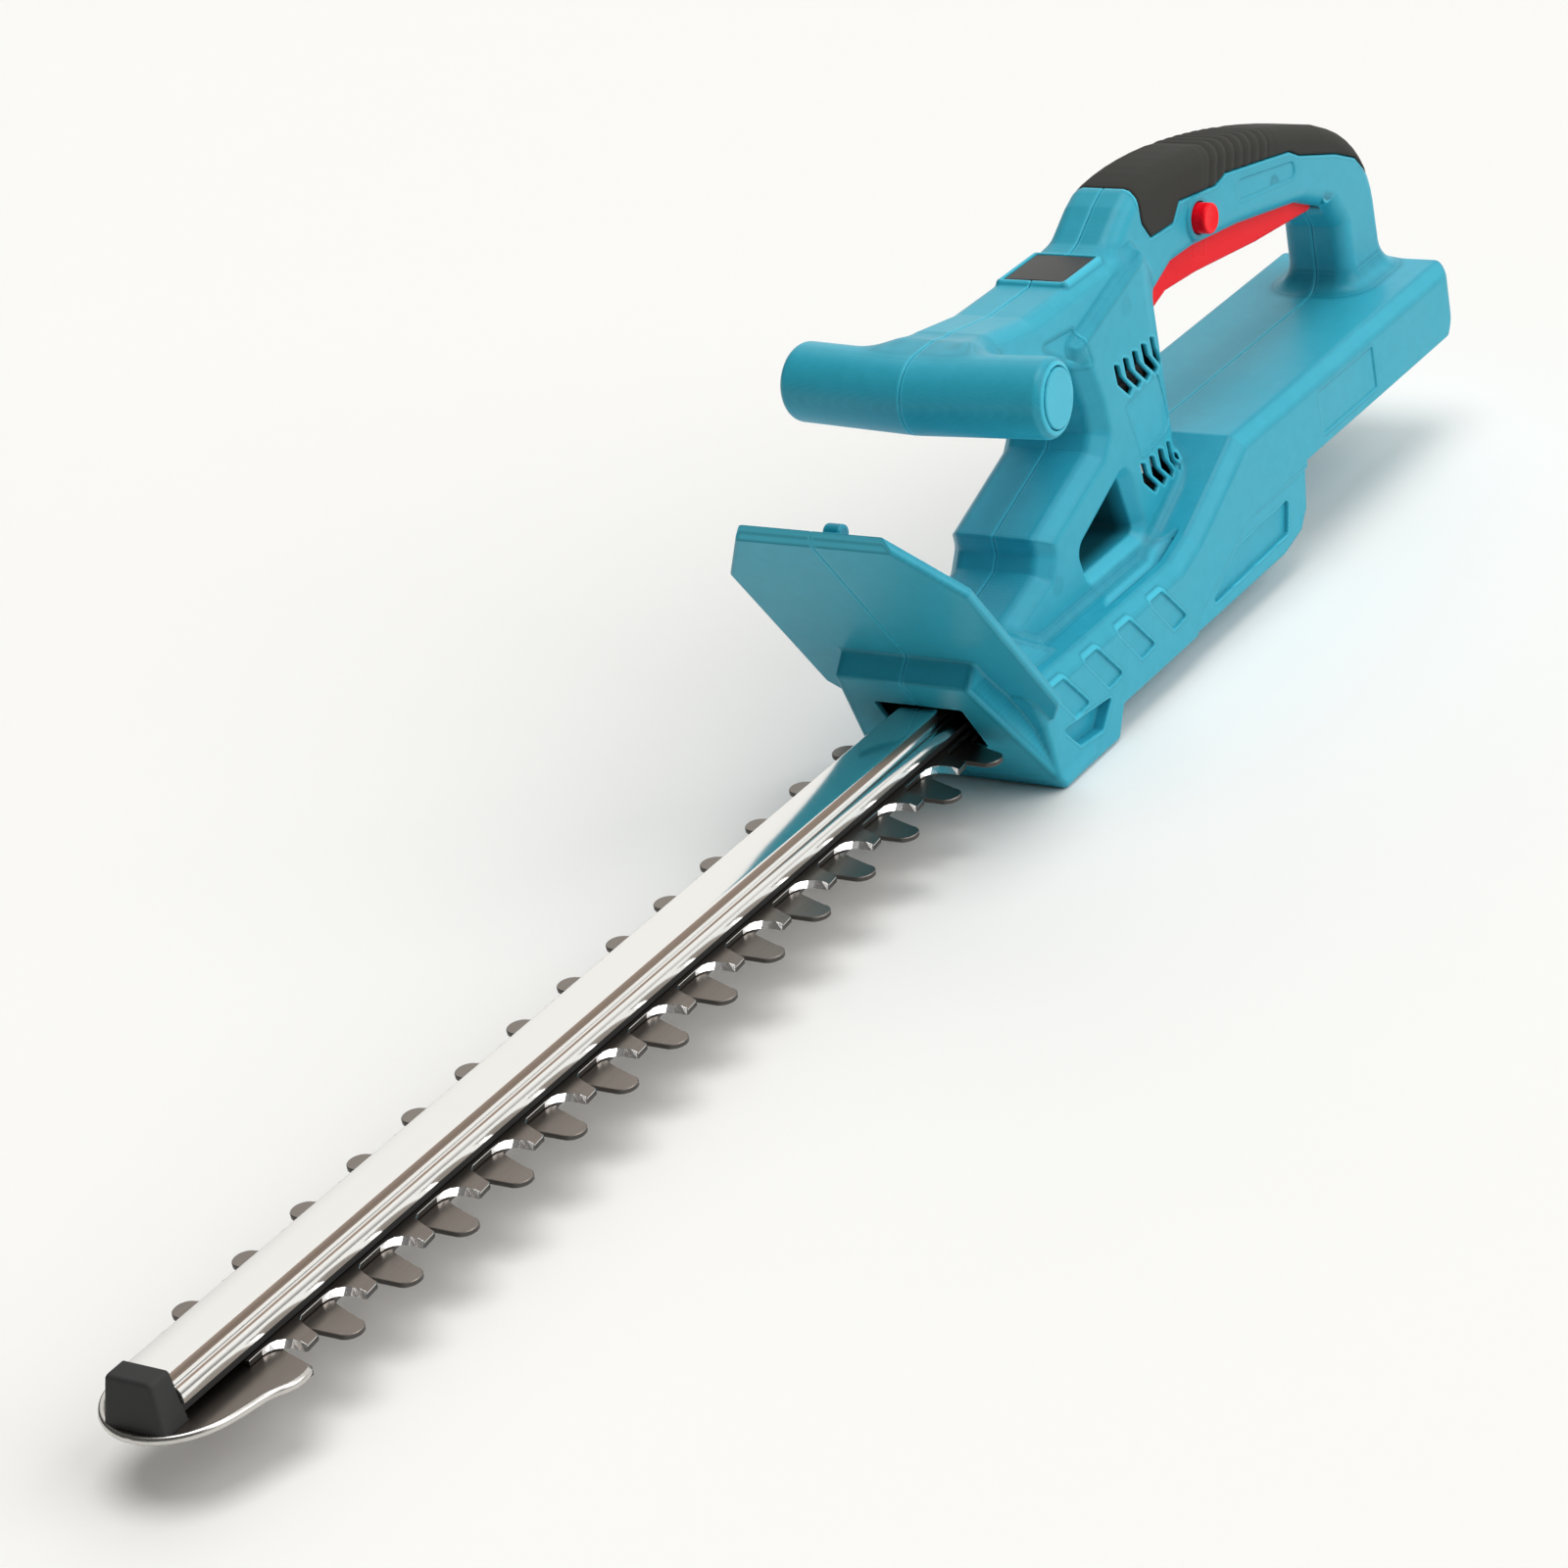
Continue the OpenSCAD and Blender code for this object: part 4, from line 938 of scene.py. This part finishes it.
class TRIMMER_OT_trigger(PieceOperator, bpy.types.Operator):
    """Builds the long trigger lever"""
    bl_idname = "trimmer.trigger"
    bl_label = "Trigger"

    def build(self):
        f = Field((-306, -9, 117), (-136, 9, 151), sizes().small_cell)
        everywhere = (-400, -30, 100), (-100, 30, 220)
        f.add(slab(TRIGGER, 7.5, 1.6), *everywhere)
        f.add(rod_y(*PIVOT, 4, -7.5, 7.5, 0.5), *everywhere, 1)
        f.cut(rod_y(*PIVOT, 2.1, -20, 20, 0), *everywhere)
        field_object("trigger_lever_red", f, "trigger_lever", ["trigger"], red_plastic(), "signal_red")


class TRIMMER_OT_lock_button(PieceOperator, bpy.types.Operator):
    """Builds the lock-off push button"""
    bl_idname = "trimmer.lock_button"
    bl_label = "Lock button"

    def build(self):
        x, z = BUTTON
        f = Field((x - 8, -7, z - 8), (x + 8, 26, z + 8), 0.3)
        everywhere = (-400, -30, 100), (-100, 60, 220)
        f.add(rod_y(x, z, BUTTON_R, 12.6, 23.5, 1.1), *everywhere)
        f.add(rod_y(x, z, 2.6, -5, 14, 0.4), *everywhere)
        f.cut(lambda a, b, c: np.sqrt((a - x) ** 2 + (b - 59.5) ** 2 + (c - z) ** 2) - 36.5, *everywhere, 0.5)
        field_object("lock_push_button", f, "lock", ["lock_button"], red_plastic(), "signal_red")


class TRIMMER_OT_indicator(PieceOperator, bpy.types.Operator):
    """Builds the smoked window over the charge lights"""
    bl_idname = "trimmer.indicator"
    bl_label = "Indicator window"

    def build(self):
        f = Field((-105, -16, 168), (-73, 16, 176), 0.35)
        x0, x1 = WINDOW_LOW[0], WINDOW_HIGH[0]

        def shape(x, y, z):
            lid = brick((x0 + 0.2, -13.8, 170.1), (x1 - 0.2, 13.8, 173.7), 1.0)(x, y, z)
            return smooth_max(lid, z - 173.5 + 0.0016 * y * y, 0.6)
        f.add(shape, (-120, -30, 160), (-60, 30, 180))
        smoked = moulded("smoked_window", (0.014, 0.014, 0.015), (0.03, 0.03, 0.03), rough=0.3, spread=0.08,
                         grain=1400, bump=0.05, gloss=0.2)
        field_object("charge_window", f, "housing", ["indicator_window"], smoked, "window_grey")


class TRIMMER_OT_blades(PieceOperator, bpy.types.Operator):
    """Builds the fixed comb with its rimmed tip, and the sliding cutter with its ground teeth"""
    bl_idname = "trimmer.blades"
    bl_label = "Blades"

    def build(self):
        steel = metal("rolled_blade_steel", colours().blade, rough=0.34, spread=0.2, along=20, across=500,
                      bump=0.08,
                      dark=(0.26, 0.22, 0.19))
        rim_steel = metal("tip_rim_steel", (0.62, 0.60, 0.57), rough=0.28, spread=0.14, along=60, across=300)
        ground = metal("ground_edge_steel", colours().ground, rough=0.2, spread=0.02, along=8, across=8,
                       bump=0.0)
        # Painted shade: the blade sides get a much darker copy of the blade steel
        shadow = metal("blade_side_steel", (0.10, 0.095, 0.09), rough=0.45, spread=0.1, along=200, across=400)
        pitch, count = sizes().tooth_pitch / MM, sizes().tooth_count

        lower, upper = blade_outlines(COMB_TAIL, COMB_SPINE, [(p, 0) for p in comb_tooth_outline()], count,
                                      pitch,
                                      (tip_half_outline(), plain_tip_outline()))
        comb = new_object("comb_blade", plate_mesh("comb_blade", lower, (upper, inset(upper, 0.25)), COMB_Z,
                                                   COMB_Z + BLADE_T, 0.25), [steel, shadow, rim_steel])
        boolean_cut(comb, [prism_object(arc(x, 0, 2.6, 0, 345, 23), COMB_Z - 1, COMB_Z + BLADE_T + 1)
                           for x in BOLTS])
        mesh = comb.data
        # Side faces take the painted shade material
        for face in mesh.polygons:
            if abs(face.normal.z) < 0.35:
                face.material_index = 1
        right = smooth_path([(497, 34.2)] + [(x, y) for x, y in tip_half_outline()[4:-1]], 1)
        left = smooth_path([(506, 20)] + plain_tip_outline()[2:-1], 1)
        path = np.concatenate((right - (0.6, 0.6), [(TIP - 1.0, 0.0)], (left * (1, -1))[::-1] - (0.6, -0.6)))
        verts, faces = swept_rim(path, COMB_Z + BLADE_T / 2 + 0.35, sizes().rim_width / MM / 2 + 0.1, 1.65)
        rim = bpy.data.meshes.new("tip_rim")
        rim.from_pydata(verts, [], faces)
        rim.shade_smooth()
        bead = new_object("comb_tip_rim", rim, [rim_steel])

        nose = [(FIRST_TOOTH + (count - 1) * pitch + 32, 13.5), (FIRST_TOOTH + (count - 1) * pitch + 32, 0)]
        lower, upper = blade_outlines(CUTTER_TAIL, CUTTER_SPINE, cutter_tooth_outline(), count, pitch,
                                      (nose, nose))
        cutter = new_object("cutter_blade",
                            plate_mesh("cutter_blade", lower, (upper, inset(upper, 0.12)), CUTTER_Z,
                                                       CUTTER_Z + BLADE_T, 0.12), [steel, shadow, ground])
        slots = [prism_object(arc(x + THROW + 0.5, 0, 4.8, -90, 90, 10) + arc(x - THROW - 0.5, 0, 4.8, 90,
                                                                              270, 10),
                              CUTTER_Z - 1, CUTTER_Z + BLADE_T + 1) for x in BOLTS]
        yoke = [(CRANK_X - 4.1, -11.6), (CRANK_X + 4.1, -11.6), (CRANK_X + 4.1, 11.6), (CRANK_X - 4.1, 11.6)]
        boolean_cut(cutter, slots + [prism_object(yoke, CUTTER_Z - 1, CUTTER_Z + BLADE_T + 1)])
        for face in cutter.data.polygons:
            if 0.2 < face.normal.z < 0.97 and abs(face.center.y) > 0.0132:
                face.material_index = 2
            elif abs(face.normal.z) < 0.2:
                face.material_index = 1
        for obj, body in ((comb, "housing"), (bead, "housing"), (cutter, "cutter")):
            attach(obj, body)
        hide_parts("blade_comb")
        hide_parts("blade_cutter")


class TRIMMER_OT_bar(PieceOperator, bpy.types.Operator):
    """Builds the bright rolled guide bar with its grooved sides"""
    bl_idname = "trimmer.bar"
    bl_label = "Guide bar"

    def build(self):
        outer = [(0, 11), (7.9, 11), (8.6, 10.75), (9.05, 10.2), (9.9, 8.3), (10.1, 7.7), (10.15, 7.0),
                 (10.3, 6.3),
                 (10.7, 5.7), (11.4, 5.25), (12.0, 4.7), (12.5, 3.9), (12.8, 3.0), (13, 1.9), (13, 0.2),
                 (12.8, 0)]
        section = outer + [(11.9, 0), (11.8, 2.6), (11.2, 3.9), (9.6, 4.9), (9.0, 6.4), (8.7, 7.9),
                           (7.8, 9.7), (0, 9.8)]
        ring = section + [(-y, z) for y, z in reversed(section[1:-1])]
        mesh = bpy.data.meshes.new("guide_bar")
        bm = bmesh.new()
        stations = [BAR_START, BAR_END - 0.4, BAR_END]
        rows = [[bm.verts.new((x * MM, y * MM, (BAR_Z + z) * MM)) for y, z in ring] for x in stations]
        n = len(ring)
        # Painted reflection: the concave faces along each groove take the second, brown-grey material
        reflection_faces = {i for i in (3, 4, 8)} | {n - 1 - i for i in (3, 4, 8)}
        for low, high in zip(rows, rows[1:]):
            for i in range(n):
                face = bm.faces.new((low[i], low[(i + 1) % n], high[(i + 1) % n], high[i]))
                face.smooth, face.material_index = True, int(i in reflection_faces)
        bm.faces.new(rows[0])
        bm.faces.new(rows[-1])
        bmesh.ops.recalc_face_normals(bm, faces=bm.faces)
        bm.to_mesh(mesh)
        bm.free()
        plated = metal("bright_bar", colours().bar, rough=0.16, spread=0.05, along=3, across=160, bump=0.0,
                       dark=(1.25, 1.24, 1.2))
        # Painted reflection: a darker brown-grey metal on the groove faces stands in for what the grooves
        # reflect
        rolled = metal("bar_groove", (0.36, 0.28, 0.23), rough=0.3, spread=0.05, along=3, across=160,
                       bump=0.0)
        bar = new_object("guide_bar", mesh, [plated, rolled])
        mesh.set_sharp_from_angle(angle=math.radians(32))
        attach(bar, "housing")
        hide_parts("blade_bar")


class TRIMMER_OT_bar_cap(PieceOperator, bpy.types.Operator):
    """Builds the black cap that closes the end of the bar"""
    bl_idname = "trimmer.bar_cap"
    bl_label = "Bar end cap"

    def build(self):
        f = Field((530, -17, 26), (549, 17, 48), 0.35)

        def shape(x, y, z):
            up = (z - 28) / 18
            side = np.abs(y) - (13.2 - 3.4 * np.clip(up, 0, 1))
            front = x - (545.0 - 2.6 * np.clip(up, 0, 1))
            d = smooth_max(side, front, 2.2)
            d = smooth_max(d, z - 46.2, 1.6)
            return np.maximum(np.maximum(d, 28.05 - z), 533.1 - x)
        f.add(shape, (500, -40, 0), (600, 40, 60))
        f.cut(brick((520, -11.5, 29), (539.2, 11.5, 34.1), 0), (500, -40, 0), (600, 40, 60))
        field_object("bar_end_cap_black", f, "housing", ["bar_end_cap"], dark_plastic(), "black_plastic")


class TRIMMER_OT_inner_parts(PieceOperator, bpy.types.Operator):
    """Gives the drive, switch, board and fastener parts their finishes"""
    bl_idname = "trimmer.inner_parts"
    bl_label = "Drive and fasteners"

    def build(self):
        zinc = metal("zinc_fastener", (0.62, 0.62, 0.64), rough=0.34, along=300, across=300)
        hardened = metal("hardened_steel", (0.45, 0.45, 0.47), rough=0.3, along=400, across=400)
        alloy = metal("cast_alloy", (0.70, 0.71, 0.73), rough=0.5, spread=0.2, along=150, across=150,
                      bump=0.2)
        copper = metal("copper", (0.85, 0.42, 0.22), rough=0.32, along=300, across=300)
        magnet = metal("ferrite", (0.08, 0.08, 0.09), rough=0.6, along=300, across=300, metallic=0.3)
        green = moulded("board_green", (0.01, 0.12, 0.04), (0.05, 0.25, 0.1), rough=0.35, grain=700)
        black = dark_plastic()
        finishes = {
            zinc: ["shell_screws", "blade_bolts", "lock_nuts", "gear_case_screws", "trigger_pin",
                   "trigger_spring",
                   "lock_spring", "motor_can"],
            hardened: ["guide_bushes", "crank_bearing", "crank_gear", "crank_shaft", "crank_pin",
                       "drive_pinion",
                       "rotor_shaft", "rotor_core"],
            alloy: ["gear_case"],
            copper: ["rotor_winding", "commutator", "motor_bushes", "terminal_blades"],
            magnet: ["motor_magnets", "motor_brushes"],
            green: ["indicator_board", "control_board"],
            black: ["clamp_strip", "cooling_fan", "motor_end_cap", "trigger_switch", "board_parts",
                    "terminal_block"],
        }
        soft_edged = {"clamp_strip": 0.0004, "blade_bolts": 0.0004, "lock_nuts": 0.0003, "gear_case": 0.0004,
                      "terminal_block": 0.0006, "shell_screws": 0.0003}
        for material, nodes in finishes.items():
            for node in nodes:
                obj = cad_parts[node]
                for slot in obj.material_slots:
                    slot.link = "OBJECT"
                    slot.material = material
                if node in soft_edged:
                    finish_edges(obj, soft_edged[node])


class TRIMMER_OT_stage(PieceOperator, bpy.types.Operator):
    """Builds the floor, the soft studio lights and the camera"""
    bl_idname = "trimmer.stage"
    bl_label = "Stage"

    def build(self):
        scene = bpy.context.scene
        half = 9.0
        mesh = bpy.data.meshes.new("floor")
        mesh.from_pydata([(-half, -half, 0), (half, -half, 0), (half, half, 0), (-half, half, 0)], [],
                         [(0, 1, 2, 3)])
        material, tree, shader = blank_material("pale_floor")
        patches = place(tree, "Fine grain", Scale=300.0)["Patches"]
        tone = blend(tree, maths(tree, "MULTIPLY", patches, 0.05), rgba(colours().floor),
                     rgba(colours().floor, 0.97))
        tree.links.new(tone, shader.inputs["Base Color"])
        shader.inputs["Roughness"].default_value = 0.75
        shader.inputs["Specular IOR Level"].default_value = 0.2
        floor = new_object("floor", mesh, [material])
        floor.location.z = -0.0006

        world = bpy.data.worlds.new("studio")
        scene.world = world
        world.use_nodes = True
        sky = world.node_tree
        ray = sky.nodes.new("ShaderNodeTexCoord").outputs["Generated"]
        facing = put(sky, "ShaderNodeVectorMath", {"operation": "DOT_PRODUCT"}, i0=ray, i1=BRIGHT_SKY_SIDE)
        screen = put(sky, "ShaderNodeMapRange", {"interpolation_type": "SMOOTHSTEP"},
                     Value=facing.outputs["Value"],
                     From_Min=0.45, From_Max=0.78, To_Min=0.10, To_Max=0.97)
        sky.links.new(screen.outputs[0], sky.nodes["Background"].inputs["Strength"])
        sky.nodes["Background"].inputs["Color"].default_value = (1.0, 0.99, 0.965, 1)
        suns = [("side_light", (-0.12, 0.85, 0.58), 50, 1.45), ("top_light", (0.02, 0.08, 1.0), 40, 1.40)]
        for name, source, spread, strength in suns:
            data = bpy.data.lights.new(name, "SUN")
            data.angle, data.energy = math.radians(spread), strength
            lamp = bpy.data.objects.new(name, data)
            lamp.rotation_euler = Vector(source).to_track_quat("Z", "Y").to_euler()
            scene.collection.objects.link(lamp)

        data = bpy.data.cameras.new("camera")
        data.lens, data.sensor_width = 104.97, 36.0
        data.clip_end = 50
        camera = bpy.data.objects.new("camera", data)
        right = Vector((-0.53033685, 0.8309432, -0.16815535))
        down = Vector((0.4467595, 0.10534871, -0.88842985))
        forward = Vector((-0.7205198, -0.54629209, -0.42710207))
        turn = Matrix((right, -down, -forward)).transposed().to_4x4()
        camera.matrix_world = Matrix.Translation((1.3842, 0.9370, 0.7917)) @ turn
        scene.collection.objects.link(camera)
        scene.camera = camera
        scene.view_settings.view_transform = "Standard"


PIECES = [TRIMMER_OT_shells, TRIMMER_OT_grip_ends, TRIMMER_OT_grip_cover, TRIMMER_OT_trigger,
          TRIMMER_OT_lock_button,
          TRIMMER_OT_indicator, TRIMMER_OT_blades, TRIMMER_OT_bar, TRIMMER_OT_bar_cap, TRIMMER_OT_inner_parts,
          TRIMMER_OT_stage]


class TRIMMER_PT_panel(bpy.types.Panel):
    """Lists the pieces of the hedge trimmer and the sizes and colours they use"""
    bl_label = "Hedge Trimmer"
    bl_idname = "TRIMMER_PT_panel"
    bl_space_type = "VIEW_3D"
    bl_region_type = "UI"
    bl_category = "Hedge Trimmer"

    def draw(self, context):
        for settings in (context.scene.trimmer_sizes, context.scene.trimmer_colours):
            column = self.layout.column()
            for name in settings.bl_rna.properties.keys():
                if name not in ("rna_type", "name"):
                    column.prop(settings, name)
        column = self.layout.column()
        for piece in PIECES:
            column.operator(piece.bl_idname)


CLASSES = [TrimmerSizes, TrimmerColours, *PIECES, TRIMMER_PT_panel]


def register():
    for cls in CLASSES:
        bpy.utils.register_class(cls)
    bpy.types.Scene.trimmer_sizes = bpy.props.PointerProperty(type=TrimmerSizes)
    bpy.types.Scene.trimmer_colours = bpy.props.PointerProperty(type=TrimmerColours)


def unregister():
    del bpy.types.Scene.trimmer_sizes
    del bpy.types.Scene.trimmer_colours
    for cls in reversed(CLASSES):
        bpy.utils.unregister_class(cls)


def main():
    register()
    for piece in PIECES:
        space, name = piece.bl_idname.split(".")
        getattr(getattr(bpy.ops, space), name)()


if __name__ == "__main__":
    main()
